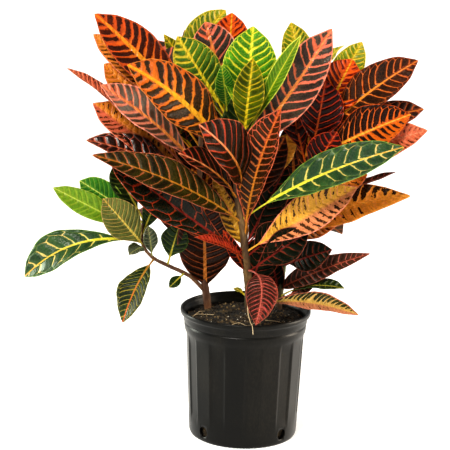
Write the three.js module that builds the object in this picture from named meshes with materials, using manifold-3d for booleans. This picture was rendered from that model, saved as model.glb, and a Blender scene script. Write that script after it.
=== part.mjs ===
// A croton in a nursery pot: the pot, its soil, and four rooted leafy stems that stand in the soil.
// Millimetres, +Z up. The origin is the centre of the pot's underside, and the plant's front looks to -Y.

import * as THREE from "three";
import { mergeVertices } from "three/addons/utils/BufferGeometryUtils.js";
import Module from "manifold-3d";

const wasm = await Module();
wasm.setup();

// ---------------------------------------------------------------- driving dimensions

const GAP = 0.3; // clearance between two pieces that touch

const POT_HEIGHT = 233;
const LIP_RADIUS = 117.5;
const LIP_UNDERSIDE = 225;
const BAND_RADIUS = 111; // the plain band under the lip
const BAND_TOP = 221;
const GROOVE_HEIGHT = 208; // a groove runs around the band
const SHOULDER_HEIGHT = 188; // the fluted wall ends here
const SHOULDER_RADIUS = 106;
const FOOT_RADIUS = 97.5; // the fluted wall at its lowest
const FLUTES = 20; // every second one is sunk
const FLUTE_FOOT = 34; // the wall is plain below this
const FLUTE_DEPTH = 1.8;
const FLUTE_SLOPE = 6; // height of the slope at a sunk flute's ends
const FLUTE_EDGE = 1.6; // degrees that a flute's sloping edge takes on each side
const WALL = 2;
const FLOOR = 2.5;
const DRAIN_RADIUS = 9.5;
const DRAIN_HEIGHT = 20;
const DRAINS = 4;

const SOIL_TOP = 214;
const SOIL_MOUND = 6; // the middle of the soil stands this much higher
const SOIL_RIPPLE = { height: 1.5, alongX: 17, alongY: 14 };
const SOIL_RINGS = [1, 0.6, 0.25]; // radii, as shares of the lip's
const SOIL_COLUMNS = 20;
const ROOT_DEPTH = 182; // the height at which every stem ends in the soil
const ROOT_CLEARANCE = 1.2; // keeps a stem's corners off the flat sides of its hole

const STEM_SIDES = 8;
const STEM_STEP = 40; // length of one straight stretch of a stem

const BLADE_STEPS = 7; // straight stretches along a blade
const SMALL_STEPS = 5; // the same for the small blades and the ones at the back
const SMALL_WIDTH = 30;
const STALK_LENGTH = 32; // bare leaf stalk, unless a leaf gives its own
const STALK_RADIUS = 1.8;
const BLADE_EDGE = 0.9; // thickness of a blade at its margin
const RIB_DEPTH = 2.2; // how far the midrib stands out below
const RIB_TAPER = 0.6; // share of that depth which is lost by the tip
const BLADE_FOLD = 20; // degrees that each half of a blade rises from the midrib
const WIDEST = 0.58; // where along the blade it is widest
const BLUNT = 0.35; // how much rounder the tip is than the stalk's end
const WAVES = 2; // waves along each margin
const WAVE_HEIGHT = 0.045; // height of a wave, as a share of the blade's width
const WAVE_SHIFT = 2.4; // how far the waves of one leaf are moved on from the last one's
const TIP_HALF_WIDTH = 0.8;

const GOLDEN = 0.618034; // steps of this spread the hidden leaves evenly
const HIDDEN_TILT = [-11, 11]; // degrees, up or down
const HIDDEN_ROLL = [-0.4, 0.4]; // how far the upper side looks sideways
const HIDDEN_WIDTH = [0.3, 0.42]; // width, bow and lean as shares of the leaf's length
const HIDDEN_BOW = [0.1, 0.2];
const HIDDEN_LEAN = [-0.07, 0.07];

// ---------------------------------------------------------------- the plants
//
// A stem is a path from its root to its growing tip, with the radius at both ends. A leaf row gives
// at: height on the stem; tip: where the leaf ends; width: of the whole blade; bow: how far the
// midrib stands out from a straight line; face: the way that the upper side looks. A leaf may also
// give its stalk's length, its fold in degrees, or how far the midrib leans out sideways. Hidden
// leaves grow on the far side: their heights on the stem, compass directions and slopes in degrees,
// and reach from the stem lie between the two numbers given, and start shifts how they are spread.

const LEFT_PLANT = {
  stems: [
    {
      path: [
        [-69, 46, 182], [-70, 46, 222], [-78, 42, 280], [-81, 38, 320], [-86, 28, 380],
        [-88, 16, 460], [-87, 10, 530], [-86, 8, 585],
      ],
      radii: [7.5, 3.5],
      leaves: [
        { at: 545, tip: [-270, -10, 755], width: 70, bow: 10, face: [0.3, -1, 0.3] },
        { at: 575, tip: [-243, 35, 737], width: 54, bow: 8, face: [0.3, -1, 0.3] },
        { at: 560, tip: [-280, 35, 712], width: 58, bow: 12, face: [0.5, -1, 0.6] },
        { at: 480, tip: [-257, -60, 635], width: 70, bow: 16, face: [0.2, -0.8, 0.8] },
        { at: 458, tip: [-322, 4, 657], width: 46, bow: 10, face: [0, 0.1, 1] },
        { at: 446, tip: [-277, 22, 600], width: 50, bow: 14, face: [0.3, -0.8, 0.6] },
        { at: 430, tip: [-283, -34, 540], width: 56, bow: 26, face: [0, -0.7, 1] },
        { at: 265, tip: [-88, -5, 450], width: 74, bow: 8, face: [0, -1, 0.2] },
        { at: 268, tip: [-40, 12, 350], width: 30, bow: 5, face: [-0.2, -1, 0.2] },
      ],
      hidden: {
        count: 11, heights: [425, 560], azimuths: [118, 172],
        reach: [150, 195], slopes: [-16, 44], start: 0.7,
      },
    },
    {
      path: [
        [-77, 43, 255], [-102, 34, 284], [-138, 20, 305], [-170, 0, 326],
        [-186, -10, 350], [-185, -5, 395],
      ],
      radii: [4, 2.5],
      leaves: [
        { at: 350, tip: [-393, -40, 305], width: 64, bow: 26, face: [0, -1, 0.9], stalk: 50 },
        { at: 365, tip: [-344, -20, 451], width: 54, bow: 8, face: [0, -1, 0.4] },
        { at: 385, tip: [-296, 10, 456], width: 48, bow: 8, face: [0, -1, 0.5] },
        { at: 345, tip: [-253, -50, 443], width: 58, bow: 10, face: [0, -1, 0.4], stalk: 15 },
        { at: 330, tip: [-173, -25, 387], width: 22, bow: 4, face: [0.3, -1, 0.1], stalk: 10 },
        { at: 345, tip: [-212, -35, 336], width: 14, bow: 3, face: [0, -0.5, 1], stalk: 8 },
        { at: 318, tip: [-214, -50, 218], width: 50, bow: 25, face: [-0.6, -1, 0.3], stalk: 20 },
        { at: 303, tip: [-125, 0, 393], width: 52, bow: 4, face: [0, -1, 0.2], stalk: 20 },
        { at: 290, tip: [-138, 0, 268], width: 18, bow: 4, face: [0, -1, 0.3], stalk: 10 },
        { at: 390, tip: [-243, 20, 479], width: 44, bow: 6, face: [0.3, -1, 0.3], stalk: 20 },
        { at: 385, tip: [-163, 0, 440], width: 24, bow: 3, face: [0, -1, 0.2], stalk: 10 },
      ],
    },
  ],
};

const CENTRE_PLANT = {
  stems: [
    {
      path: [
        [8, 18, 182], [8, 18, 224], [6, 14, 262], [1, 6, 300], [-4, -4, 340],
        [-10, -6, 390], [-21, -4, 445], [-19, 0, 495], [-10, 0, 535], [-6, 0, 560],
      ],
      radii: [9.5, 4.5],
      leaves: [
        { at: 530, tip: [-5, 10, 731], width: 81, bow: 8, face: [0, -1, 0.15] },
        { at: 520, tip: [1, -42, 685], width: 52, bow: 6, face: [0, -1, 0.2], fold: 40 },
        { at: 535, tip: [85, -30, 725], width: 26, bow: 10, face: [-0.5, -1, 0.3] },
        { at: 500, tip: [130, 2, 732], width: 80, bow: 12, face: [-0.1, -1, 0.2] },
        { at: 478, tip: [-207, -110, 676], width: 84, bow: 14, face: [0.2, -1, 0.6], lean: -18, stalk: 45 },
        { at: 440, tip: [-86, -130, 582], width: 96, bow: 34, face: [0, -1, 0.9] },
        { at: 390, tip: [-268, -85, 522], width: 50, bow: 26, face: [0, -0.8, 0.8], stalk: 50 },
        { at: 330, tip: [-238, -62, 514], width: 60, bow: 18, face: [0.1, -1, 0.5], stalk: 65 },
        { at: 350, tip: [-80, -18, 500], width: 38, bow: 5, face: [0.2, -1, 0.1], stalk: 40 },
        { at: 350, tip: [51, -60, 602], width: 70, bow: 10, face: [-0.7, -1, 0.1], fold: 28 },
        { at: 395, tip: [61, 0, 545], width: 50, bow: 6, face: [-0.2, -1, 0.1] },
        { at: 425, tip: [80, 34, 545], width: 46, bow: 8, face: [0, -1, 0.2] },
        { at: 300, tip: [18, -128, 238], width: 56, bow: 30, face: [0.1, -0.5, 1], lean: 14 },
        { at: 325, tip: [-92, -60, 374], width: 24, bow: 12, face: [0, -0.7, 1] },
        { at: 395, tip: [258, -110, 549], width: 72, bow: 35, face: [0, -1, 0.7], stalk: 60 },
        { at: 335, tip: [185, -72, 467], width: 56, bow: 12, face: [0, -1, 0.5], stalk: 45 },
        { at: 325, tip: [70, -22, 388], width: 44, bow: 6, face: [0, -1, 0.6] },
        { at: 296, tip: [90, -58, 390], width: 42, bow: 8, face: [0, -1, 0.4] },
        { at: 228, tip: [190, -75, 240], width: 40, bow: 18, face: [0, -0.6, 1] },
      ],
    },
  ],
};

const RIGHT_PLANT = {
  stems: [
    {
      path: [
        [60, 50, 182], [60, 50, 224], [63, 49, 262], [67, 46, 305], [76, 40, 360],
        [90, 32, 420], [103, 26, 480], [112, 22, 540], [115, 20, 572],
      ],
      radii: [7, 3.5],
      leaves: [
        { at: 560, tip: [198, 50, 695], width: 50, bow: 8, face: [0, -1, 0.3] },
        { at: 560, tip: [66, 52, 728], width: 48, bow: 8, face: [0, -1, 0.3] },
        { at: 545, tip: [163, 10, 681], width: 66, bow: 6, face: [0, -1, 0.2] },
        { at: 530, tip: [285, -20, 682], width: 66, bow: 12, face: [-0.2, -1, 0.5] },
        { at: 500, tip: [125, -40, 649], width: 68, bow: 10, face: [0.2, -1, 0.2] },
        { at: 500, tip: [273, -50, 596], width: 80, bow: 14, face: [0, -1, 0.5] },
        { at: 520, tip: [304, 20, 587], width: 50, bow: 20, face: [0, -1, 0.8] },
        { at: 470, tip: [304, -20, 556], width: 50, bow: 20, face: [0, -1, 0.6] },
        { at: 455, tip: [150, -25, 560], width: 56, bow: 6, face: [0, -1, 0.3] },
        { at: 420, tip: [207, -15, 483], width: 48, bow: 12, face: [0, -1, 0.6] },
        { at: 375, tip: [282, -30, 450], width: 50, bow: 18, face: [0, -1, 0.9] },
        { at: 400, tip: [254, -10, 479], width: 20, bow: 10, face: [0, 0.3, 1] },
        { at: 300, tip: [144, -30, 351], width: 44, bow: 8, face: [0, -1, 0.4] },
        { at: 265, tip: [215, -30, 347], width: 42, bow: 14, face: [0, -0.9, 0.8] },
        { at: 240, tip: [173, -40, 277], width: 20, bow: 10, face: [0, -0.5, 1] },
      ],
      hidden: {
        count: 11, heights: [385, 550], azimuths: [34, 84],
        reach: [150, 195], slopes: [-14, 44], start: 0.75,
      },
    },
  ],
};

const BACK_PLANT = {
  stems: [
    {
      path: [
        [4, 75, 182], [4, 75, 224], [2, 72, 280], [-6, 66, 340], [-16, 61, 400],
        [-31, 55, 470], [-40, 52, 540], [-44, 50, 600],
      ],
      radii: [7, 3.5],
      leaves: [
        { at: 590, tip: [-50, 90, 760], width: 76, bow: 12, face: [0, -1, 0.3], lean: 40 },
        { at: 560, tip: [-122, 75, 702], width: 60, bow: 8, face: [0.2, -1, 0.3] },
        { at: 570, tip: [-130, -20, 717], width: 78, bow: 10, face: [0, -1, 0.3] },
        { at: 578, tip: [-56, 0, 673], width: 34, bow: 5, face: [0.5, -1, 0.2] },
        { at: 595, tip: [-84, 30, 738], width: 66, bow: 8, face: [0.1, -1, 0.3] },
        { at: 598, tip: [-42, 55, 752], width: 58, bow: 8, face: [0, -1, 0.2] },
      ],
      hidden: {
        count: 16, heights: [395, 578], azimuths: [52, 128],
        reach: [145, 200], slopes: [-20, 50], start: 0.625,
      },
    },
  ],
};

// ---------------------------------------------------------------- solids

function toSolid(geometry) {
  const bare = geometry.clone();
  bare.deleteAttribute("normal");
  bare.deleteAttribute("uv");
  const merged = mergeVertices(bare);
  return new wasm.Manifold(
    new wasm.Mesh({
      numProp: 3,
      vertProperties: new Float32Array(merged.attributes.position.array),
      triVerts: new Uint32Array(merged.index.array),
    }),
  );
}

function toGeometry(solid) {
  const { vertProperties, triVerts } = solid.getMesh();
  const geometry = new THREE.BufferGeometry();
  geometry.setAttribute("position", new THREE.BufferAttribute(vertProperties, 3));
  geometry.setIndex(new THREE.BufferAttribute(triVerts, 1));
  return geometry;
}

// A closed solid through rings that all have the same number of points. Each ring turns
// anticlockwise as seen from the last ring. Sides from mirrorFrom on are split along their other
// diagonal, so the two faces of a thin blade have the same triangles.
function loft(rings, mirrorFrom = Infinity) {
  const count = rings[0].length;
  const points = rings.flat();
  const faces = [];
  for (let r = 0; r + 1 < rings.length; r++) {
    for (let i = 0; i < count; i++) {
      const a = r * count + i;
      const b = r * count + ((i + 1) % count);
      const c = b + count;
      const d = a + count;
      if (i < mirrorFrom) faces.push(a, b, c, a, c, d);
      else faces.push(a, b, d, b, c, d);
    }
  }
  const last = (rings.length - 1) * count;
  for (let i = 1; i + 1 < count; i++) {
    faces.push(0, i + 1, i);
    faces.push(last, last + i, last + i + 1);
  }
  const geometry = new THREE.BufferGeometry().setFromPoints(points);
  geometry.setIndex(faces);
  return toSolid(geometry);
}

// ---------------------------------------------------------------- pot and soil

const degrees = THREE.MathUtils.degToRad;

function wallRadius(z) {
  return THREE.MathUtils.mapLinear(z, 0, SHOULDER_HEIGHT, FOOT_RADIUS, SHOULDER_RADIUS);
}

// A ring of the fluted wall: two points at each flute's edge, and every second flute is sunk.
function flutedRing(z, radius, depth) {
  const ring = [];
  for (let edge = 0; edge < FLUTES; edge++) {
    for (const side of [-1, 1]) {
      const sunk = (edge + (side > 0 ? 1 : 0)) % 2 === 0;
      const angle = degrees((edge * 360) / FLUTES + side * FLUTE_EDGE);
      const r = radius - (sunk ? depth : 0);
      ring.push(new THREE.Vector3(r * Math.sin(angle), -r * Math.cos(angle), z));
    }
  }
  return ring;
}

function drainHole(index) {
  const drain = new THREE.CylinderGeometry(DRAIN_RADIUS, DRAIN_RADIUS, 40, 16);
  drain.translate(0, -wallRadius(DRAIN_HEIGHT), 0);
  drain.rotateZ(degrees(45 + (index * 360) / DRAINS));
  drain.translate(0, 0, DRAIN_HEIGHT);
  return toSolid(drain);
}

function potSolid() {
  const wallRing = (z, depth) => flutedRing(z, wallRadius(z), depth);
  const outside = [
    flutedRing(0, FOOT_RADIUS - 5, 0),
    flutedRing(4, FOOT_RADIUS - 1, 0),
    wallRing(9, 0),
    wallRing(FLUTE_FOOT, 0),
    wallRing(FLUTE_FOOT + FLUTE_SLOPE, FLUTE_DEPTH),
    wallRing(SHOULDER_HEIGHT - FLUTE_SLOPE, FLUTE_DEPTH),
    wallRing(SHOULDER_HEIGHT, 0),
    flutedRing(SHOULDER_HEIGHT + 9, BAND_RADIUS - 2, 0),
    flutedRing(GROOVE_HEIGHT - 2, BAND_RADIUS - 1, 0),
    flutedRing(GROOVE_HEIGHT, BAND_RADIUS - 2, 0),
    flutedRing(GROOVE_HEIGHT + 2, BAND_RADIUS, 0),
    flutedRing(BAND_TOP, BAND_RADIUS + 1.5, 0),
    flutedRing(LIP_UNDERSIDE, LIP_RADIUS - 0.5, 0),
    flutedRing(POT_HEIGHT - 3, LIP_RADIUS, 0),
    flutedRing(POT_HEIGHT, LIP_RADIUS - 1.5, 0),
  ];
  let pot = loft(outside).subtract(loft(cavityRings(0)));
  for (let index = 0; index < DRAINS; index++) pot = pot.subtract(drainHole(index));
  return pot;
}

// The inside of the pot, drawn in by the given clearance. It runs past the lip.
function cavityRings(inset) {
  const inner = (z, radius) => flutedRing(z, radius - FLUTE_DEPTH - WALL - inset, 0);
  return [
    inner(FLOOR + inset, FOOT_RADIUS - 2),
    inner(9, wallRadius(9)),
    inner(SHOULDER_HEIGHT, SHOULDER_RADIUS),
    inner(SHOULDER_HEIGHT + 12, BAND_RADIUS),
    inner(BAND_TOP, BAND_RADIUS + 2),
    inner(POT_HEIGHT + 1, LIP_RADIUS + 1),
  ];
}

function soilSurface(x, y) {
  const radius = Math.hypot(x, y);
  const mound = SOIL_MOUND * (1 - (radius / BAND_RADIUS) ** 2);
  const ripple = Math.sin(x / SOIL_RIPPLE.alongX + 1) * Math.cos(y / SOIL_RIPPLE.alongY);
  return SOIL_TOP + mound + SOIL_RIPPLE.height * ripple;
}

function soilSolid(plants) {
  const fill = loft(cavityRings(GAP));
  const rings = [];
  for (const share of SOIL_RINGS) {
    const ring = [];
    for (let i = 0; i < SOIL_COLUMNS; i++) {
      const angle = (i * 2 * Math.PI) / SOIL_COLUMNS;
      const x = share * LIP_RADIUS * Math.cos(angle);
      const y = share * LIP_RADIUS * Math.sin(angle);
      ring.push(new THREE.Vector3(x, y, soilSurface(x, y)));
    }
    rings.push(ring);
  }
  const below = rings[0].map((point) => new THREE.Vector3(point.x, point.y, 0));
  let soil = fill.intersect(loft([below, ...rings]));
  for (const { stems } of plants) {
    const [x, y] = stems[0].path[0];
    const radius = stems[0].radii[0] + ROOT_CLEARANCE;
    const hole = new THREE.CylinderGeometry(radius, radius, POT_HEIGHT, 12);
    hole.rotateX(Math.PI / 2);
    hole.translate(x, y, ROOT_DEPTH - GAP + POT_HEIGHT / 2);
    soil = soil.subtract(toSolid(hole));
  }
  return soil;
}

// ---------------------------------------------------------------- stems and leaves

const vector = (xyz) => new THREE.Vector3(...xyz);

function stemCurve(path) {
  return new THREE.CatmullRomCurve3(path.map(vector));
}

function stemSolid({ path, radii }) {
  const curve = stemCurve(path);
  const steps = Math.round(curve.getLength() / STEM_STEP);
  const { normals, binormals } = curve.computeFrenetFrames(steps, false);
  const rings = [];
  for (let s = 0; s <= steps; s++) {
    const centre = curve.getPointAt(s / steps);
    const radius = THREE.MathUtils.lerp(radii[0], radii[1], s / steps);
    const ring = [];
    for (let i = 0; i < STEM_SIDES; i++) {
      const angle = (i * 2 * Math.PI) / STEM_SIDES;
      const point = centre.clone();
      point.addScaledVector(normals[s], radius * Math.cos(angle));
      point.addScaledVector(binormals[s], radius * Math.sin(angle));
      ring.push(point);
    }
    rings.push(ring);
  }
  return loft(rings);
}

// The point of a rising stem at a height, found by halving.
function pointAtHeight(curve, height) {
  let low = 0;
  let high = 1;
  for (let i = 0; i < 24; i++) {
    const middle = (low + high) / 2;
    if (curve.getPoint(middle).z < height) low = middle;
    else high = middle;
  }
  return curve.getPoint((low + high) / 2);
}

// Half the blade's width at v, from 0 at the stalk to 1 at the tip, as a share of the widest.
function bladeOutline(v) {
  const skew = Math.log(0.5) / Math.log(WIDEST);
  return Math.sin(Math.PI * v ** skew) ** (1 - BLUNT * v);
}

// The leaf's midrib and the directions across and out of it, t from 0 in the stem to 1 at the tip.
function leafFrame(root, leaf, t) {
  const chord = vector(leaf.tip).sub(root);
  const face = vector(leaf.face).projectOnPlane(chord).normalize();
  const sideways = new THREE.Vector3().crossVectors(face, chord).normalize();
  const arch = face.clone().multiplyScalar(leaf.bow).addScaledVector(sideways, leaf.lean ?? 0);
  const centre = root.clone().addScaledVector(chord, t).addScaledVector(arch, 4 * t * (1 - t));
  const along = chord.clone().addScaledVector(arch, 4 * (1 - 2 * t)).normalize();
  const normal = face.clone().projectOnPlane(along).normalize();
  const across = new THREE.Vector3().crossVectors(normal, along);
  return { centre, normal, across };
}

function leafSolid(root, leaf, index) {
  const length = vector(leaf.tip).sub(root).length();
  const stalk = (leaf.stalk ?? STALK_LENGTH) / length;
  const rise = Math.tan(degrees(leaf.fold ?? BLADE_FOLD));
  const rings = [];
  const addRing = (t, halfWidth, edgeHeights, ribTop, ribBottom, edge) => {
    const { centre, normal, across } = leafFrame(root, leaf, t);
    const point = (side, height) =>
      centre.clone().addScaledVector(across, side * halfWidth).addScaledVector(normal, height);
    rings.push([
      point(-1, edgeHeights[0] + edge),
      point(-1, edgeHeights[0] - edge),
      point(0, ribBottom),
      point(1, edgeHeights[1] - edge),
      point(1, edgeHeights[1] + edge),
      point(0, ribTop),
    ]);
  };
  addRing(0, STALK_RADIUS, [0, 0], STALK_RADIUS, -STALK_RADIUS, STALK_RADIUS / 2);
  const steps = leaf.atBack || leaf.width < SMALL_WIDTH ? SMALL_STEPS : BLADE_STEPS;
  for (let s = 0; s <= steps; s++) {
    const v = s / steps;
    const widest = leaf.width / 2;
    const halfWidth = Math.max(widest * bladeOutline(v), s === 0 ? STALK_RADIUS : TIP_HALF_WIDTH);
    const edgeHeights = [-1, 1].map((side) => {
      const wave = Math.sin(2 * Math.PI * WAVES * v + index * WAVE_SHIFT + side);
      return halfWidth * rise + leaf.width * WAVE_HEIGHT * wave * bladeOutline(v);
    });
    const ribBottom = -RIB_DEPTH * (1 - RIB_TAPER * v);
    addRing(stalk + (1 - stalk) * v, halfWidth, edgeHeights, BLADE_EDGE / 2, ribBottom, BLADE_EDGE / 2);
  }
  return loft(rings, 3);
}

// Leaves on the side that the listed ones leave bare. Low ones reach out and high ones stand up, and
// steps of the golden ratio spread everything else between its two limits.
function hiddenLeaves(curve, { count, heights, azimuths, reach, slopes, start }) {
  const between = ([from, to], share) => THREE.MathUtils.lerp(from, to, share);
  const spread = (range, turn) => between(range, (start + turn * GOLDEN) % 1);
  const leaves = [];
  for (let i = 0; i < count; i++) {
    const height = i / (count - 1);
    const at = between(heights, height);
    const azimuth = degrees(spread(azimuths, i + 1));
    const length = spread(reach, 2 * i + 1);
    const slope = between(slopes, THREE.MathUtils.smoothstep(height, 0, 1));
    const elevation = degrees(slope + spread(HIDDEN_TILT, 3 * i + 1));
    const outward = new THREE.Vector3(
      Math.cos(azimuth) * Math.cos(elevation),
      Math.sin(azimuth) * Math.cos(elevation),
      Math.sin(elevation),
    );
    const roll = spread(HIDDEN_ROLL, 5 * i + 2);
    leaves.push({
      at,
      tip: pointAtHeight(curve, at).addScaledVector(outward, length).toArray(),
      width: length * spread(HIDDEN_WIDTH, 4 * i + 3),
      bow: length * spread(HIDDEN_BOW, 7 * i + 4),
      lean: length * spread(HIDDEN_LEAN, 6 * i + 5),
      face: [-roll * Math.sin(azimuth), roll * Math.cos(azimuth), 1],
      atBack: true,
    });
  }
  return leaves;
}

function plantSolid({ stems }) {
  let plant = null;
  for (const stem of stems) {
    const curve = stemCurve(stem.path);
    const trunk = stemSolid(stem);
    plant = plant ? plant.add(trunk) : trunk;
    const hidden = stem.hidden ? hiddenLeaves(curve, stem.hidden) : [];
    [...stem.leaves, ...hidden].forEach((leaf, index) => {
      plant = plant.add(leafSolid(pointAtHeight(curve, leaf.at), leaf, index));
    });
  }
  return plant;
}

// ---------------------------------------------------------------- the model

function piece(name, solid, colour, roughness) {
  const material = new THREE.MeshStandardMaterial({ color: colour, roughness, metalness: 0 });
  const mesh = new THREE.Mesh(toGeometry(solid), material);
  mesh.name = name;
  return mesh;
}

const plants = [LEFT_PLANT, CENTRE_PLANT, RIGHT_PLANT, BACK_PLANT];

const croton = new THREE.Group();
croton.add(piece("nursery_pot", potSolid(), 0x1d1d1b, 0.45));
croton.add(piece("potting_soil", soilSolid(plants), 0x2a1c12, 0.95));
croton.add(piece("left_leafy_stem", plantSolid(LEFT_PLANT), 0x7a3f1c, 0.35));
croton.add(piece("centre_leafy_stem", plantSolid(CENTRE_PLANT), 0x4f6b22, 0.35));
croton.add(piece("right_leafy_stem", plantSolid(RIGHT_PLANT), 0x8a4a22, 0.35));
croton.add(piece("back_leafy_stem", plantSolid(BACK_PLANT), 0x6c7a25, 0.35));

export default croton;
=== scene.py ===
# %% [markdown]
# # A croton in a nursery pot
# This file dresses a measured model of a potted croton: four stems of stiff, waxy, boldly veined
# leaves in a ribbed black pot. The measured model is loaded first and stays fixed. Every shape
# below is then made in its place, in the same frame, so nothing has to be fitted afterwards.
# Shapes are worked out in millimetres and turned into Blender's metres when a piece is finished.

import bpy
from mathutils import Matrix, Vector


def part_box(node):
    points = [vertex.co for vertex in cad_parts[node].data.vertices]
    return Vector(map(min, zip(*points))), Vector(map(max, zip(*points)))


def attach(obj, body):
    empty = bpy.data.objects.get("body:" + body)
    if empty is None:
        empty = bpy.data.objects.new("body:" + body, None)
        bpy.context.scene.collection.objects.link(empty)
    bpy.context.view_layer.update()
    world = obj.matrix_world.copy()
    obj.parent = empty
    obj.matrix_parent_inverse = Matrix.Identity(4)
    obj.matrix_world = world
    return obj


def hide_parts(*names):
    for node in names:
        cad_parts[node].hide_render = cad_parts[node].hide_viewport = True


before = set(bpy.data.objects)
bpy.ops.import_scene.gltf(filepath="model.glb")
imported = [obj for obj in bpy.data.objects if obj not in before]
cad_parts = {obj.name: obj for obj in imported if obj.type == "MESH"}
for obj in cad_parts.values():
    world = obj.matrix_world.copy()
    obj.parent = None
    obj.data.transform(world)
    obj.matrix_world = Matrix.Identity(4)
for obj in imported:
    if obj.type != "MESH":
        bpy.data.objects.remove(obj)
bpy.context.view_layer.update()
print("measured nodes:", sorted(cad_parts))

# %% What the rest of the file uses
import math
import random
from types import SimpleNamespace

import bmesh
import bpy
from mathutils import Matrix, Vector, noise

print("Blender", bpy.app.version_string)

# %% [markdown]
# ## Writing materials as sums
# A leaf's pattern is arithmetic: how far is this point from the nearest vein, and is that less than
# the vein's width? It could be wired by hand, but then nobody can read it. These helpers add one
# node per step, so the pattern can be read as lines of sums.

# %% Colours as on screen
def paint(code):
    """A colour written as on screen, such as #d0802a, as the linear values that nodes hold."""
    values = [int(code[i : i + 2], 16) / 255 for i in (1, 3, 5)]
    linear = [c / 12.92 if c <= 0.04045 else ((c + 0.055) / 1.055) ** 2.4 for c in values]
    return (*linear, 1.0)


print("the colour #808080 as nodes hold it:", paint("#808080"))

# %% Adding and joining nodes
class Nodes:
    """Adds nodes to one tree, in rows of five, and joins them up."""

    def __init__(self, tree):
        self.tree = tree
        self.count = 0

    def add(self, kind, **settings):
        node = self.tree.nodes.new(kind)
        node.location = (200 * (self.count // 5), -220 * (self.count % 5))
        self.count += 1
        for name, value in settings.items():
            setattr(node, name, value)
        return node

    def feed(self, socket, value):
        """Gives a socket a number or a colour, or joins it to the node that has the value."""
        if isinstance(value, bpy.types.NodeSocket):
            self.tree.links.new(value, socket)
        else:
            socket.default_value = value

    def sum(self, operation, *values, clamp=False):
        node = self.add("ShaderNodeMath", operation=operation, use_clamp=clamp)
        for socket, value in zip(node.inputs, values):
            self.feed(socket, value)
        return node.outputs[0]

    def ramp(self, value, low, high, start=0.0, end=1.0):
        """Eases from start to end while the value goes from low to high."""
        node = self.add("ShaderNodeMapRange", interpolation_type="SMOOTHSTEP")
        for socket, number in zip(node.inputs, (value, low, high, start, end)):
            self.feed(socket, number)
        return node.outputs[0]

    def blend(self, share, a, b):
        node = self.add("ShaderNodeMix", data_type="RGBA")
        for socket, value in zip((node.inputs[0], node.inputs[6], node.inputs[7]), (share, a, b)):
            self.feed(socket, value)
        return node.outputs[2]

    def noise(self, vector, scale, detail=2.0):
        node = self.add("ShaderNodeTexNoise")
        for name, value in (("Vector", vector), ("Scale", scale), ("Detail", detail)):
            self.feed(node.inputs[name], value)
        return node.outputs[0]


# %% A new node group
def new_group(name, inputs, outputs):
    """A node group with its sockets: a tuple is a colour and a number is a value."""
    group = bpy.data.node_groups.new(name, "ShaderNodeTree")
    for direction, sockets in (("INPUT", inputs), ("OUTPUT", outputs)):
        for label, default in sockets.items():
            kind = "NodeSocketColor" if isinstance(default, tuple) else "NodeSocketFloat"
            socket = group.interface.new_socket(label, in_out=direction, socket_type=kind)
            socket.default_value = default
    nodes = Nodes(group)
    return group, nodes, nodes.add("NodeGroupInput").outputs, nodes.add("NodeGroupOutput").inputs


# %% Materials that are drawn by a group
def patterned(name, group, bump_strength, bump_distance):
    """A material whose colour and bumps come from a group, with the parts that are still to be set."""
    material = bpy.data.materials.new(name)
    material.use_nodes = True
    n = Nodes(material.node_tree)
    shader = material.node_tree.nodes["Principled BSDF"]
    pattern = n.add("ShaderNodeGroup", node_tree=group)
    bump = n.add("ShaderNodeBump")
    bump.inputs["Strength"].default_value = bump_strength
    bump.inputs["Distance"].default_value = bump_distance
    n.feed(bump.inputs["Height"], pattern.outputs["Relief"])
    n.feed(shader.inputs["Base Color"], pattern.outputs["Colour"])
    n.feed(shader.inputs["Normal"], bump.outputs[0])
    return material, n, pattern, shader


# %% [markdown]
# ## The croton pattern
# A croton leaf is dark, with a bright midrib, bright side veins that fork before the margin, and
# a thin bright margin. As a leaf ages the bright colour floods out from the veins until only
# dark blotches are left between them. Each leaf could be painted on its own, but all of them are
# one pattern with different numbers: each point knows how far it is from the nearest vein, and the
# dark starts at some distance from it.
#
# The leaf's mesh carries what the pattern needs: **place** holds the share across the blade (-1 to
# 1), the share along it, and a count of side veins that goes up by one at each vein. **midrib**
# holds the distance from the midrib in millimetres.

# %% What a kind of leaf can set
LEAF_INPUTS = {
    "Midrib Base": paint("#d8c040"), "Midrib Tip": paint("#d8c040"),
    "Vein Base": paint("#c0b040"), "Vein Tip": paint("#c0b040"),
    "Flush": paint("#90a030"), "Light": paint("#405020"), "Dark": paint("#203010"),
    "Margin": paint("#b0a040"), "Blush": paint("#c0604c"), "Blush Side": 0.0,
    "Midrib Width": 1.6, "Margin Width": 0.9, "Swell": 0.9,
    "Vein Width": 0.15, "Taper": 0.5, "Fork": 0.8, "Reach": 0.97,
    "Spread": 0.0, "Tip Spread": 0.2, "Side Spread": 0.0, "Ragged": 0.25, "Net": 0.06,
}
print("inputs of the croton pattern:", len(LEAF_INPUTS))

# %% Where a point lies on its leaf
BROAD_SCALE = 24.0  # noise marks per metre, from the broadest to the finest
WANDER_SCALE = 34.0
PATCH_SCALE = 75.0
NET_SCALE = 200.0
FINE_SCALE = 280.0
STREAK_STEPS = (2.6, 2.2)  # noise marks per side vein, and per half width


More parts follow.
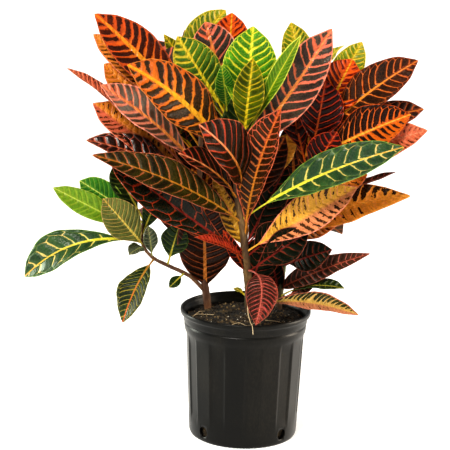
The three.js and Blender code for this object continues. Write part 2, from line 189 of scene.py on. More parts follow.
def leaf_place(n):
    """The point's place on the leaf, and the noises that make the drawing uneven."""
    spot = n.add("ShaderNodeTexCoord").outputs["Object"]
    axes = n.add("ShaderNodeSeparateXYZ")
    n.feed(axes.inputs[0], n.add("ShaderNodeAttribute", attribute_name="place").outputs["Vector"])
    side, along, count = axes.outputs
    across = n.sum("ABSOLUTE", side)
    off_rib = n.sum("ABSOLUTE", n.add("ShaderNodeAttribute", attribute_name="midrib").outputs["Fac"])
    half_width = n.sum("DIVIDE", off_rib, n.sum("MAXIMUM", across, 0.01))
    drawn = n.add("ShaderNodeCombineXYZ")
    n.feed(drawn.inputs[0], n.sum("MULTIPLY", count, STREAK_STEPS[0]))
    n.feed(drawn.inputs[1], n.sum("MULTIPLY", side, STREAK_STEPS[1]))
    return SimpleNamespace(
        spot=spot, side=side, along=along, count=count, across=across, off_rib=off_rib,
        off_margin=n.sum("SUBTRACT", half_width, off_rib),
        broad=n.noise(spot, BROAD_SCALE),
        fine=n.sum("SUBTRACT", n.noise(spot, FINE_SCALE, 3.0), 0.5),
        streak=n.sum("SUBTRACT", n.noise(drawn.outputs[0], 1.0, 4.0), 0.5),
    )


# %% The veins
def side_veins(n, value, at):
    """The distance from the nearest side vein, that vein's width, and a mask of the veins."""
    # the distance is 0 on a vein and 1 halfway to the next, and it splits in two past the fork
    wander = n.sum("MULTIPLY_ADD", n.noise(at.spot, WANDER_SCALE), 0.45, at.count)
    phase = n.sum("FRACT", n.sum("MULTIPLY_ADD", at.fine, 0.14, wander))
    halfway = n.sum("MULTIPLY", n.sum("ABSOLUTE", n.sum("SUBTRACT", phase, 0.5)), 2.0)
    branch = n.ramp(at.across, value["Fork"], n.sum("ADD", value["Fork"], 0.24))
    distance = n.sum("ABSOLUTE", n.sum("SUBTRACT", halfway, branch))

    # a vein thins outwards and in patches, and each vein has a strength of its own
    white = n.add("ShaderNodeTexWhiteNoise", noise_dimensions="1D")
    n.feed(white.inputs["W"], n.sum("FLOOR", wander))
    strength = white.outputs["Value"]
    width = n.sum("MULTIPLY", value["Vein Width"], n.ramp(at.across, 0.03, 0.9, 1.4, value["Taper"]))
    width = n.sum("MULTIPLY", width, n.ramp(n.noise(at.spot, PATCH_SCALE), 0.3, 0.7, 0.35, 1.75))
    width = n.sum("MULTIPLY", width, n.ramp(strength, 0.0, 1.0, 0.5, 1.5))
    torn_edge = n.sum("MULTIPLY_ADD", at.fine, 0.3, distance)
    vein = n.ramp(torn_edge, width, n.sum("ADD", width, 0.1), 1.0, 0.0)
    outer = n.sum("MULTIPLY_ADD", n.sum("SUBTRACT", strength, 0.5), 0.3, at.across)
    reach = n.ramp(outer, n.sum("SUBTRACT", value["Reach"], 0.15), value["Reach"], 1.0, 0.0)
    return distance, width, n.sum("MULTIPLY", vein, reach)


def fine_net(n, value, at):
    """A mask of the net of small veins between the side veins."""
    cells = n.add("ShaderNodeTexVoronoi", feature="DISTANCE_TO_EDGE")
    n.feed(cells.inputs["Vector"], at.spot)
    n.feed(cells.inputs["Scale"], NET_SCALE)
    return n.sum("MULTIPLY", n.ramp(cells.outputs["Distance"], 0.02, 0.12, 1.0, 0.0), value["Net"])


# %% The dark between the veins
def dark_field(n, value, at, distance, width):
    """The room around a point up to any vein or margin, and a mask of the dark with its torn edge."""
    tip = n.sum("ADD", n.ramp(at.along, 0.5, 1.0), n.sum("MULTIPLY_ADD", at.broad, 0.6, -0.3))
    spread = n.sum("MULTIPLY_ADD", tip, value["Tip Spread"], n.sum("ADD", width, value["Spread"]))
    spread = n.sum("MULTIPLY_ADD", at.side, value["Side Spread"], spread)
    rib_room = n.sum("MULTIPLY", at.off_rib, 0.1)
    margin_room = n.sum("MULTIPLY", at.off_margin, 0.25)
    room = n.sum("MINIMUM", distance, n.sum("MINIMUM", rib_room, margin_room))
    torn = n.sum("ADD", n.sum("MULTIPLY", at.streak, 1.8), n.sum("MULTIPLY", at.fine, 1.2))
    ragged_room = n.sum("MULTIPLY_ADD", torn, value["Ragged"], room)
    return room, n.ramp(ragged_room, spread, n.sum("ADD", spread, 0.13))


# %% The paints, from the blade up to the midrib
def croton_colour(n, value, at, room, dark, bright):
    # veins change towards the tip and the margin, and one side of some leaves is blushed
    ageing = n.ramp(n.sum("MULTIPLY_ADD", at.across, 0.6, at.along), 0.15, 1.25)
    blush = n.ramp(n.sum("MULTIPLY", at.side, value["Blush Side"]), -0.04, 0.22, 0.0, 0.85)
    vein_colour = n.blend(ageing, value["Vein Base"], value["Vein Tip"])
    vein_colour = n.blend(blush, vein_colour, value["Blush"])
    flush = n.blend(blush, value["Flush"], value["Blush"])

    # the blade: bright near the veins, then light, then dark where there is most room
    deep = n.sum("MULTIPLY", n.ramp(room, 0.1, 0.7), n.ramp(at.broad, 0.3, 0.62))
    colour = n.blend(dark, flush, n.blend(deep, value["Light"], value["Dark"]))
    colour = n.blend(bright, colour, vein_colour)

    # the margin and the midrib lie over all the rest
    rim_end = n.sum("ADD", value["Margin Width"], 0.5)
    rim = n.ramp(at.off_margin, value["Margin Width"], rim_end, 1.0, 0.0)
    colour = n.blend(rim, colour, value["Margin"])
    rib_width = n.sum("MULTIPLY", value["Midrib Width"], n.ramp(at.along, 0.0, 1.0, 1.15, 0.4))
    rib_edge = n.sum("MULTIPLY_ADD", at.fine, 1.6, at.off_rib)
    rib = n.ramp(rib_edge, rib_width, n.sum("ADD", rib_width, 0.4), 1.0, 0.0)
    colour = n.blend(rib, colour, n.blend(ageing, value["Midrib Base"], value["Midrib Tip"]))

    # streaks and grain make the paints lighter and darker
    shade = n.add("ShaderNodeHueSaturation")
    n.feed(shade.inputs["Color"], colour)
    n.feed(shade.inputs["Value"], n.ramp(n.sum("ADD", at.fine, at.streak), -0.3, 0.3, 0.78, 1.2))
    return shade.outputs[0]


# %% The pattern's node group
def make_pattern():
    outputs = {"Colour": (0.0, 0.0, 0.0, 1.0), "Relief": 0.0, "Gloss": 0.0}
    group, n, value, out = new_group("croton_pattern", LEAF_INPUTS, outputs)
    at = leaf_place(n)
    distance, width, vein = side_veins(n, value, at)
    room, dark = dark_field(n, value, at, distance, width)
    bright = n.sum("MAXIMUM", vein, fine_net(n, value, at))
    n.feed(out["Colour"], croton_colour(n, value, at, room, dark, bright))

    # side veins lie in shallow grooves and the blade swells between them
    swell = n.sum("MULTIPLY", n.ramp(distance, 0.0, 0.7), value["Swell"])
    n.feed(out["Relief"], n.sum("ADD", swell, n.sum("MULTIPLY", at.fine, 0.5)))
    n.feed(out["Gloss"], n.ramp(at.broad, 0.3, 0.7, 0.24, 0.36))
    return group


PATTERN = make_pattern()
print("croton pattern:", len(PATTERN.nodes), "nodes")

# %% [markdown]
# ## Kinds of leaf
# The youngest leaves are lime with yellow veins. Older ones turn olive and then dark, with veins
# that go from gold through orange to red and rose, and the oldest are flooded with amber. Each kind
# is a row of eight paints, in the order of WORDS, and a few numbers for the pattern above.

# %% How a kind is written
WORDS = ("Midrib Base", "Midrib Tip", "Vein Base", "Vein Tip", "Flush", "Light", "Dark", "Margin")
KINDS = {}


def kind(name, paints, spacing=12, sweep=0.4, shine=0.15, **numbers):
    """Adds a kind of leaf.

    Spacing is in millimetres from one side vein to the next, sweep is how far a side vein runs
    forward for each step outwards, and shine is how strongly the wax reflects.
    """
    sockets = {word: paint(code) for word, code in zip(WORDS, paints.split())}
    sockets.update({key.replace("_", " ").title(): value for key, value in numbers.items()})
    KINDS[name] = {"spacing": spacing, "sweep": sweep, "shine": shine, "sockets": sockets}


# %% Lime and green kinds
kind("lime", "#e0d424 #e0dc38 #d0c828 #d4cc34 #94ac18 #4c9018 #206008 #ccd048", 13, 0.5, shine=0.2,
     vein_width=0.12, fork=0.76, tip_spread=0.15, net=0.14, midrib_width=2.8, ragged=0.25)
kind("young_lime", "#d4bc24 #d8b430 #c8b42c #ccb034 #9c9818 #6c801a #30520a #c4b440", 10, 0.6,
     vein_width=0.14, fork=0.75, tip_spread=0.3, net=0.16, midrib_width=1.8, ragged=0.35)
kind("golden_lime", "#dcc828 #e0b838 #d0c030 #d0b838 #a8a020 #48701c #1c4410 #d0a840", 13, 0.5,
     vein_width=0.12, fork=0.76, tip_spread=0.2, net=0.1, midrib_width=2.6, ragged=0.35,
     side_spread=0.3)
kind("olive", "#c8b01c #c8a818 #b8a018 #b09418 #7c8010 #5c6c08 #303c04 #b89c20", 11, 0.6,
     vein_width=0.08, fork=0.92, tip_spread=0.2, midrib_width=2.0)
kind("fresh_green", "#c8cc38 #c8cc38 #a4b434 #a4b434 #4c9424 #2c8420 #186010 #98b840", 7, 0.9,
     vein_width=0.08, fork=0.9, midrib_width=1.0, net=0.05)
kind("dull_olive", "#c0a84c #b89c44 #a08840 #a88848 #74743c #606830 #40481f #a88c54", 9, 0.7,
     vein_width=0.05, fork=0.9, tip_spread=0.1, midrib_width=1.6, net=0.1)
kind("plain_green", "#a0b040 #a4b444 #7c9428 #809628 #708e20 #6c8a20 #5a7c1c #8ca034", 12, 0.6,
     vein_width=0.01, fork=0.95, midrib_width=1.2, net=0.03, reach=0.7, swell=0.3)
kind("strap", "#b4b830 #b0ac30 #748c1c #748c1c #5c7c14 #587c10 #385c08 #c0c448", 9, 1.2,
     vein_width=0.05, fork=0.95, midrib_width=1.0, net=0.1, margin_width=1.4, swell=0.3)
kind("glossy_green", "#b4c450 #bcc858 #5c8c24 #68942c #4c8024 #3a781c #1c5410 #9cb848", 10, 0.6,
     vein_width=0.03, fork=0.9, midrib_width=1.0, net=0.03)
kind("deep_green", "#a89c34 #948c34 #40581c #4a5c1c #243c12 #142e0d #081807 #3c5420", 13,
     vein_width=0.035, fork=0.8, midrib_width=1.2, tip_spread=0.0, net=0.1)
kind("grey_green", "#80844c #84865c #60684a #6a6c50 #4a5438 #4a5440 #2c3626 #74785c", 8,
     vein_width=0.05, midrib_width=0.9, tip_spread=0.1)
kind("forest", "#d0cc3c #dc9c44 #c4c058 #ccb068 #3c6020 #2e4e26 #14341a #80a040", 25, 0.5, shine=0.24,
     vein_width=0.04, taper=0.6, fork=0.66, reach=0.86, tip_spread=0.0, ragged=0.05,
     midrib_width=2.2, margin_width=0.5, net=0.03)
print("kinds so far:", len(KINDS))

# %% Kinds with golden, orange and rose veins
kind("flame", "#dc9420 #cc6a1c #d47c1c #b8440c #b04408 #441604 #240a02 #b04c20", 18, 0.6,
     vein_width=0.16, taper=0.5, fork=0.85, spread=0.02, tip_spread=0.25, ragged=0.5,
     margin_width=1.6, midrib_width=5.4)
kind("golden_flame", "#dc9c20 #d88c1c #dc9020 #c05c10 #b45810 #302004 #140e02 #cc7830", 21, 0.55,
     vein_width=0.15, taper=0.45, fork=0.78, spread=0.03, tip_spread=0.3, ragged=0.5,
     midrib_width=5.4)
kind("ember", "#cc9c1c #dc8c14 #e4740c #d85008 #cc4c06 #6c1202 #380702 #d0560c", 10, 0.6,
     vein_width=0.2, fork=0.85, spread=0.12, tip_spread=0.3, ragged=0.9, midrib_width=2.4)
kind("loops", "#dc9830 #dc9430 #cc7030 #c4581c #bc540c #200d05 #0a0502 #b04818", 12, 0.5,
     vein_width=0.1, fork=0.66, spread=0.1, side_spread=-0.4, tip_spread=0.25, ragged=0.4,
     midrib_width=2.2, blush=paint("#c45c10"), blush_side=-1.0)
kind("rust", "#d48828 #c46824 #cc7428 #b85c20 #6c2c10 #3c1c0a #1a0d04 #84340f", 16, 0.6,
     vein_width=0.075, fork=0.74, tip_spread=0.2, midrib_width=2.2)
kind("ladder", "#bc7824 #d06428 #a87028 #c45c3c #a84828 #3c240c #1a1206 #c86444", 12, 0.5,
     vein_width=0.09, fork=0.66, tip_spread=0.12, net=0.05, midrib_width=1.8, margin_width=1.4)
kind("tip_fire", "#a07028 #d04420 #6c7428 #8c7c28 #2c4410 #183010 #0a1a06 #6c6c28", 9, 0.6,
     vein_width=0.09, fork=0.72, tip_spread=0.15, ragged=0.3, midrib_width=1.7)
kind("pink", "#b4502c #b84828 #b03c20 #ac3418 #9c2810 #48100a #1c0804 #ac4828", 7,
     vein_width=0.25, spread=0.2, ragged=0.9, midrib_width=1.0)
kind("brick", "#b05c50 #b45848 #a05048 #a04440 #7c3424 #3a2014 #1a120b #984c3c", 8, 0.6,
     vein_width=0.09, fork=0.8, side_spread=0.3, ragged=0.8, midrib_width=1.3, net=0.15)
kind("rose_grey", "#e08c34 #dc7448 #dc7438 #d06040 #c06040 #40382a #1a160e #dc8468", 19, 0.75, shine=0.28,
     vein_width=0.12, taper=0.6, fork=0.86, tip_spread=0.22, ragged=0.5, midrib_width=3.0,
     margin_width=1.8, side_spread=-0.04, blush=paint("#d06c54"), blush_side=-1.0)
# The pale grey Light paint of rose_sheen is a painted sheen: it stands in for the wax's grey-blue
# reflection between the veins, on top of its real shine.
kind("rose_sheen", "#e08c3c #dc7c50 #d87444 #e08c70 #cc6844 #6c6458 #402c1c #e89078", 17, 0.7, shine=0.35,
     vein_width=0.14, taper=0.7, fork=0.9, spread=0.03, tip_spread=0.4, ragged=0.6,
     midrib_width=3, margin_width=1.8, side_spread=0.16, blush=paint("#dc8468"), blush_side=1.0)
print("kinds so far:", len(KINDS))

# %% Kinds that are flooded with amber
kind("plain_gold", "#d89030 #d48c30 #d09030 #d09030 #cc8828 #b06818 #8c4c10 #d09848", 12, 0.5,
     vein_width=0.1, spread=0.9, midrib_width=1.2, net=0.1)
kind("amber", "#dc9830 #d88840 #d89c30 #d47c40 #c87820 #5c3008 #261404 #d07850", 12, 0.5,
     vein_width=0.2, fork=0.95, spread=0.4, ragged=1.0, midrib_width=1.6, margin_width=1.5)
kind("old_amber", "#b48828 #b47c30 #b48c28 #ac782c #a0741c #503608 #1e1404 #ac7040", 12, 0.5,
     vein_width=0.2, fork=0.95, spread=0.3, ragged=1.0, midrib_width=1.4)
kind("half_amber", "#dca03c #d89048 #dcac40 #d48c50 #d09834 #50300c #1c0e05 #d88464", 14, 0.4,
     vein_width=0.12, fork=0.95, spread=0.5, side_spread=0.1, ragged=1.3, midrib_width=1.5,
     margin_width=1.6, blush=paint("#cc7c58"), blush_side=-1.0)
kind("left_half_amber", "#d4883c #d07c48 #d49038 #d07c48 #c47c24 #40200a #160c04 #d07c60", 12, 0.4,
     vein_width=0.12, fork=0.95, spread=0.5, side_spread=-0.1, ragged=1.2, midrib_width=1.5,
     margin_width=1.4, blush_side=1.0)
kind("amber_black", "#f0ac40 #f0a040 #f0a840 #e8943c #ec9c34 #281406 #0c0502 #e09050", 17, 0.25,
     vein_width=0.24, fork=0.95, spread=0.32, side_spread=-0.6, ragged=0.8, tip_spread=0.4,
     midrib_width=1.0)
kind("pale_amber", "#b89048 #b88848 #b89c50 #b89050 #a88844 #283014 #0c1206 #b06c54", 9, 0.5,
     vein_width=0.2, fork=0.95, spread=0.34, side_spread=-0.7, ragged=1.1, midrib_width=1.0,
     margin_width=1.8, blush=paint("#a86850"), blush_side=-1.0)
kind("salmon", "#cc7c58 #d07c54 #c06850 #d07450 #bc5c3c #50281a #2a1a0e #d07c5c", 10, 0.5,
     vein_width=0.26, fork=0.95, spread=0.3, ragged=0.8, midrib_width=1.5, margin_width=1.6)
print("kinds so far:", len(KINDS))

# %% Dark kinds with thin veins
kind("bronze", "#ac7420 #b46428 #a0662a #a8583c #54400f #33300c #161606 #b06044", 19, 0.6,
     vein_width=0.045, fork=0.8, tip_spread=0.15, midrib_width=1.6)
kind("maroon", "#b87030 #a45424 #985024 #8c4020 #50200e #2a1408 #100a04 #743418", 13, 0.5, shine=0.14,
     vein_width=0.05, fork=0.9, reach=0.85, tip_spread=0.1, midrib_width=2.6)
kind("dome", "#bc7424 #e08c68 #3c2c10 #b83c20 #8c3824 #1c1606 #0b0a03 #b06040", 27, 1.0, shine=0.1,
     vein_width=0.03, taper=0.8, fork=0.95, tip_spread=0.15, midrib_width=2.8, ragged=0.15)
kind("ink_red", "#b85018 #b84418 #b83c14 #ac2c10 #6c1406 #200804 #0c0302 #b03c18", 13, 0.6,
     vein_width=0.06, fork=0.8, tip_spread=0.2, midrib_width=1.5)
kind("ink_salmon", "#b06038 #b05830 #b05c3c #a84c34 #5c2414 #100c06 #060503 #b06c48", 16, 0.4, shine=0.45,
     vein_width=0.06, fork=0.6, tip_spread=0.2, midrib_width=1.5, margin_width=1.4)
kind("ink_green", "#6c2018 #642420 #5c2418 #6c2c18 #24120a #10180a #060c04 #7c3c2c", 16, 0.6, shine=0.06,
     vein_width=0.05, fork=0.75, reach=0.7, tip_spread=0.02, ragged=0.12, midrib_width=1.5, net=0.02)
kind("hex_net", "#781c0e #8c2c14 #983c18 #9c2c10 #3c1808 #0c1a0c #040d04 #a44420", 25, 0.45, shine=0.2,
     vein_width=0.045, taper=0.7, fork=0.52, tip_spread=0.1, ragged=0.15, midrib_width=1.8)
kind("dusky", "#984c38 #98503c #984e40 #a05c50 #3c1e16 #3c2a1e #241810 #8c5040", 13, 0.5, shine=0.1,
     vein_width=0.07, fork=0.85, ragged=0.3, midrib_width=1.2)
print("kinds so far:", len(KINDS))

# %% [markdown]
# ## The two sides of a leaf
# The upper side of a croton leaf is waxy and shines in soft patches. The underside shows the same
# veins, but it is paler, browner and dull. So each kind gets two materials from the same numbers.

# %% Upper sides and undersides
UNDERSIDE_TINT = paint("#5c4c38")
UNDERSIDE_SHARE = 0.35  # how much of that tint the underside has
UNDERSIDE_ROUGHNESS = 0.6
UNDERSIDE_SHINE = 0.1
BUMP_STRENGTH = 0.8
BUMP_DISTANCE = 0.0022  # metres


def mix(a, b, share):
    """The value a share of the way from a to b."""
    return a + (b - a) * share


def leaf_material(name, underside):
    side = "underside" if underside else "leaf"
    material, n, pattern, shader = patterned(f"{name}_{side}", PATTERN, BUMP_STRENGTH, BUMP_DISTANCE)
    for label, value in KINDS[name]["sockets"].items():
        if underside and isinstance(value, tuple):
            value = tuple(mix(a, b, UNDERSIDE_SHARE) for a, b in zip(value, UNDERSIDE_TINT))
        pattern.inputs[label].default_value = value
    if underside:
        shader.inputs["Roughness"].default_value = UNDERSIDE_ROUGHNESS
        shader.inputs["Specular IOR Level"].default_value = UNDERSIDE_SHINE
    else:
        n.feed(shader.inputs["Roughness"], pattern.outputs["Gloss"])
        shader.inputs["Specular IOR Level"].default_value = KINDS[name]["shine"]
    return material


LEAF_MATERIALS = {
    name: (leaf_material(name, underside=False), leaf_material(name, underside=True))
    for name in KINDS
}
print("kinds of leaf:", len(LEAF_MATERIALS))

# %% [markdown]
# ## The plants
# Each stem is a path through a few points, with a radius at its root and one at its tip. Each leaf
# says which kind it is, at what height it leaves the stem, where its tip is, how wide the blade
# is, how far the midrib bows out from a straight line, and which way its upper side looks. A few
# also lean sideways, fold more sharply, or have their own length of bare stalk.
#
# Leaves could be scattered by a rule alone, but the ones in front give this plant its face, so
# they are placed one by one. Only the far side is left to a rule: under **hidden** a stem gives the
# number of those leaves, the lowest and highest value of each thing that varies, and their kinds.
# **start** sets where the rule begins, and **first** is the number that its first leaf gets.

# %% A leaf's facts
STALK_LENGTH = 32
BLADE_FOLD = 18  # degrees that each half rises from the midrib
WIDEST = 0.58  # where along the blade it is widest


def leaf(look, at, tip, width, bow, face, lean=0, stalk=STALK_LENGTH, fold=BLADE_FOLD, widest=WIDEST):
    return {
        "look": look, "at": at, "tip": Vector(tip), "width": width, "bow": bow, "widest": widest,
        "face": Vector(face), "lean": lean, "stalk": stalk, "fold": fold,
    }


print("facts of a leaf:", sorted(leaf("lime", at=0, tip=(0, 0, 1), width=1, bow=0, face=(0, 1, 0))))

# %% The left stem and its low side branch
LEFT_STEM = {
    "path": [(-69, 46, 182), (-70, 46, 222), (-78, 42, 280), (-81, 38, 320),
             (-86, 28, 380), (-88, 16, 460), (-87, 10, 530), (-86, 8, 585)],
    "radii": (7.5, 3.5),
    "leaves": [
        leaf("flame", 545, (-273, -10, 751), 80, 10, (0.3, -1, 0.3), -8),
        leaf("young_lime", 575, (-240, 35, 741), 44, 8, (0.3, -1, 0.3)),
        leaf("amber", 560, (-280, 35, 712), 62, 12, (0.3, -1, 0.4)),
        leaf("rose_sheen", 480, (-257, -60, 635), 74, 16, (0.2, -0.8, 0.8)),
        leaf("salmon", 458, (-322, 4, 655), 50, 10, (0, -0.25, 1)),
        leaf("left_half_amber", 446, (-279, 22, 592), 80, 14, (0.3, -0.8, 0.6)),
        leaf("ink_salmon", 430, (-284, -34, 535), 68, 26, (0, -0.7, 1)),
        leaf("maroon", 255, (-79, -5, 452), 97, 8, (0, -1, 0.2), stalk=4, widest=0.5),
        leaf("maroon", 268, (-40, 12, 350), 34, 5, (-0.2, -1, 0.2)),
        leaf("amber", 500, (-258, 5, 664), 72, 10, (0.2, -1, 0.5), widest=0.66),
        leaf("dusky", 330, (-150, 30, 424), 13, 4, (0, -1, 0.2)),
        leaf("dusky", 322, (-158, 30, 384), 8, 4, (0, -1, 0.2)),
        leaf("ink_green", 400, (-116, 45, 545), 66, 6, (0, -1, 0.2)),
        leaf("rust", 390, (-66, 42, 520), 54, 5, (0, -1, 0.2)),
    ],
    "hidden": {
        "count": 11, "heights": (425, 560), "azimuths": (118, 172), "reach": (150, 195),
        "slopes": (-16, 44), "start": 0.7, "first": 9,
        "looks": ["ink_red", "amber", "maroon", "rust", "rose_grey", "olive"],
    },
}
LEFT_BRANCH = {
    "path": [(-76, 43, 251), (-102, 34, 279), (-138, 20, 300),
             (-170, 0, 322), (-186, -10, 348), (-185, -5, 395)],
    "radii": (4, 2.5),
    "leaves": [
        leaf("forest", 350, (-392, -40, 289), 68, 37, (0, -1, 0.9), -14, stalk=8, widest=0.68),
        leaf("plain_green", 365, (-344, -20, 447), 44, 8, (0, -1, 0.4), stalk=20),
        leaf("glossy_green", 385, (-301, 10, 455), 52, 8, (0, -1, 0.5), stalk=20),
        leaf("dull_olive", 345, (-253, -50, 436), 64, 10, (0, -1, 0.4), stalk=6),
        leaf("grey_green", 322, (-176, -25, 384), 27, 4, (0.3, -1, 0.1), stalk=8),
        leaf("grey_green", 342, (-208, -35, 333), 30, 3, (0, -0.5, 1), stalk=3, widest=0.44),
        leaf("tip_fire", 318, (-217, -50, 213), 58, 25, (-0.6, -1, 0.3), 9, stalk=14, widest=0.52),
        leaf("deep_green", 303, (-121, 0, 384), 50, 4, (0, -1, 0.2), stalk=16),
        leaf("deep_green", 286, (-138, 0, 266), 20, 4, (0, -1, 0.3), stalk=10),
        leaf("deep_green", 390, (-243, 20, 479), 48, 6, (0.3, -1, 0.3), stalk=20),
        leaf("deep_green", 362, (-160, 0, 436), 32, 3, (0, -1, 0.2), stalk=10),
    ],
}
print("leaves in front on the left:", len(LEFT_STEM["leaves"]), "and", len(LEFT_BRANCH["leaves"]))

# %% The centre stem, with the largest leaves
CENTRE_STEM = {
    "path": [(8, 18, 182), (8, 18, 224), (6, 14, 262), (1, 6, 300), (-4, -4, 340),
             (-10, -6, 390), (-21, -4, 445), (-19, 0, 495), (-10, 0, 535), (-6, 0, 560)],
    "radii": (9.5, 4.5),
    "leaves": [
        leaf("lime", 530, (0, 10, 735), 95, 8, (0, -1, 0.15)),
        leaf("olive", 520, (1, -42, 685), 54, 6, (0, -1, 0.2), fold=36),
        leaf("strap", 535, (81, -62, 728), 30, 8, (-0.25, -1, 0.3)),
        leaf("rose_grey", 500, (134, -26, 737), 86, 12, (-0.1, -1, 0.2), -6, widest=0.54),
        leaf("golden_flame", 478, (-207, -110, 676), 94, 14, (0.2, -1, 0.6), -18, stalk=45, fold=13),
        leaf("dome", 440, (-86, -130, 582), 98, 34, (0, -1, 0.9)),
        leaf("bronze", 390, (-268, -85, 518), 70, 26, (0, -0.8, 0.8), stalk=22, widest=0.5),
        leaf("hex_net", 330, (-244, -62, 515), 76, 14, (0.1, -1, 0.5), 8, stalk=40),
        leaf("old_amber", 350, (-66, 8, 480), 44, 5, (0.2, -1, 0.1), stalk=2, widest=0.38),
        leaf("ladder", 350, (51, -60, 602), 74, 10, (-0.7, -1, 0.1), 8, fold=26),
        leaf("maroon", 395, (61, 0, 545), 54, 6, (-0.2, -1, 0.1)),
        leaf("plain_gold", 425, (80, 34, 545), 50, 8, (0, -1, 0.2)),
        leaf("brick", 300, (18, -128, 238), 56, 30, (0.1, -0.5, 1), 14),
        leaf("pink", 318, (-92, -60, 374), 27, 12, (0, -0.7, 1), stalk=10, widest=0.5),
        leaf("forest", 395, (258, -110, 550), 69, 35, (0, -1, 0.7), stalk=56),
        leaf("half_amber", 335, (185, -72, 472), 70, 12, (0, -1, 0.5), stalk=26),
        leaf("ink_green", 325, (70, -22, 390), 56, 6, (0, -1, 0.6), stalk=16),
        leaf("ink_green", 296, (106, -58, 389), 60, 8, (0, -1, 0.4), stalk=20, widest=0.64),
        leaf("pale_amber", 228, (197, -75, 246), 43, 23, (0, -0.6, 1)),
        leaf("ink_green", 262, (38, 6, 370), 66, 6, (0, -1, 0.2), stalk=4),
        leaf("ink_green", 345, (66, 12, 492), 62, 6, (0, -1, 0.2), stalk=10),
        leaf("ink_green", 345, (104, 14, 468), 56, 6, (0, -1, 0.2), stalk=20),
        leaf("ink_green", 400, (-44, 20, 522), 42, 4, (0, -1, 0.2), stalk=8),
        leaf("dome", 430, (-122, -66, 522), 62, 16, (0, -0.7, 1), stalk=16),
        leaf("ink_red", 294, (-44, -14, 378), 24, 4, (0, -1, 0.2), stalk=4, widest=0.5),
    ],
}
print("leaves in front in the middle:", len(CENTRE_STEM["leaves"]))

# %% The right stem
RIGHT_STEM = {
    "path": [(60, 50, 182), (60, 50, 224), (63, 49, 262), (67, 46, 305), (76, 40, 360),
             (90, 32, 420), (103, 26, 480), (112, 22, 540), (115, 20, 572)],
    "radii": (7, 3.5),
    "leaves": [
        leaf("young_lime", 560, (192, 50, 709), 56, 8, (0, -1, 0.3)),
        leaf("young_lime", 560, (66, 52, 740), 62, 8, (0, -1, 0.3)),
        leaf("ember", 545, (174, 10, 683), 84, 6, (0, -1, 0.2)),
        leaf("rust", 530, (284, -20, 686), 75, 12, (-0.2, -1, 0.5), 6),
        leaf("ink_red", 500, (128, -5, 647), 80, 10, (0.1, -1, 0.2)),
        leaf("loops", 500, (273, -50, 597), 82, 14, (0, -1, 0.5)),
        leaf("rust", 520, (303, 20, 597), 58, 20, (0, -1, 0.8)),
        leaf("salmon", 470, (303, -50, 570), 68, 20, (0, -1, 0.6)),
        leaf("ink_red", 455, (150, -25, 560), 64, 6, (0, -1, 0.3)),
        leaf("amber", 420, (207, -15, 484), 52, 12, (0, -1, 0.6)),
        leaf("amber_black", 375, (282, -30, 451), 78, 18, (0, -1, 0.9), stalk=4, widest=0.4),
        leaf("dusky", 400, (256, -10, 489), 28, 3, (0, -0.3, 1)),
        leaf("ink_green", 300, (149, -30, 351), 54, 8, (0, -1, 0.4), stalk=16),
        leaf("dusky", 258, (216, -30, 346), 46, 10, (0, -0.9, 0.8), -2, stalk=3, widest=0.4),
        leaf("deep_green", 240, (173, -40, 284), 34, 15, (0, -0.5, 1)),
        leaf("maroon", 400, (72, 45, 565), 58, 6, (0, -1, 0.2)),
        leaf("ink_red", 480, (58, 42, 640), 60, 6, (0, -1, 0.2)),
        leaf("dusky", 233, (126, 5, 282), 24, 5, (0, -1, 0.6), stalk=30),
        leaf("amber", 350, (168, -24, 410), 42, 6, (0, -1, 0.5), stalk=6),
        leaf("ink_green", 240, (40, 40, 340), 34, 4, (0, -1, 0.2), stalk=4, widest=0.45),
        leaf("rust", 430, (110, 40, 600), 52, 5, (0, -1, 0.2)),
    ],
    "hidden": {
        "count": 11, "heights": (385, 550), "azimuths": (34, 84), "reach": (150, 195),
        "slopes": (-14, 44), "start": 0.75, "first": 15,
        "looks": ["maroon", "amber", "ink_red", "loops", "young_lime", "ember"],
    },
}
print("leaves in front on the right:", len(RIGHT_STEM["leaves"]))

# %% The back stem
BACK_STEM = {
    "path": [(4, 75, 182), (4, 75, 224), (2, 72, 280), (-6, 66, 340), (-16, 61, 400),
             (-31, 55, 470), (-40, 52, 540), (-44, 50, 600)],
    "radii": (7, 3.5),
    "leaves": [
        leaf("young_lime", 590, (-50, 90, 756), 80, 12, (0, -1, 0.3), 40),
        leaf("maroon", 560, (-122, 75, 720), 60, 8, (0.2, -1, 0.3)),
        leaf("golden_lime", 570, (-130, -20, 717), 78, 10, (0, -1, 0.3)),
        leaf("fresh_green", 575, (-52, -44, 672), 34, 5, (0.1, -1, 0.2), stalk=20),
        leaf("rose_grey", 595, (-84, 30, 739), 82, 8, (0.1, -1, 0.3)),
        leaf("ember", 598, (-38, 55, 754), 72, 8, (0, -1, 0.2)),
        leaf("maroon", 415, (-112, 72, 560), 74, 8, (0.1, -1, 0.2)),
        leaf("young_lime", 230, (-24, 112, 238), 12, 4, (0, -0.5, 1), stalk=12),
        leaf("olive", 560, (-158, 60, 713), 36, 6, (0, -1, 0.2)),
        leaf("deep_green", 500, (-4, 50, 640), 60, 6, (0, -1, 0.2), stalk=6, widest=0.42),
    ],
    "hidden": {
        "count": 16, "heights": (395, 578), "azimuths": (52, 128), "reach": (145, 200),
        "slopes": (-20, 50), "start": 0.625, "first": 6,
        "looks": ["golden_flame", "ink_green", "rust", "forest", "rose_grey", "lime", "olive"],
    },
}
print("leaves of the back stem that reach the front:", len(BACK_STEM["leaves"]))

# %% [markdown]
# ## Following a stem
# A stem is a smooth curve through its points. Blender has curve objects for that, but the leaves
# need to know the stem's place at a height, so the curve is worked out here. It is the centripetal
# one, which never loops or overshoots between two points that lie close together.

# %% Points on a stem
HEIGHT_HALVINGS = 24


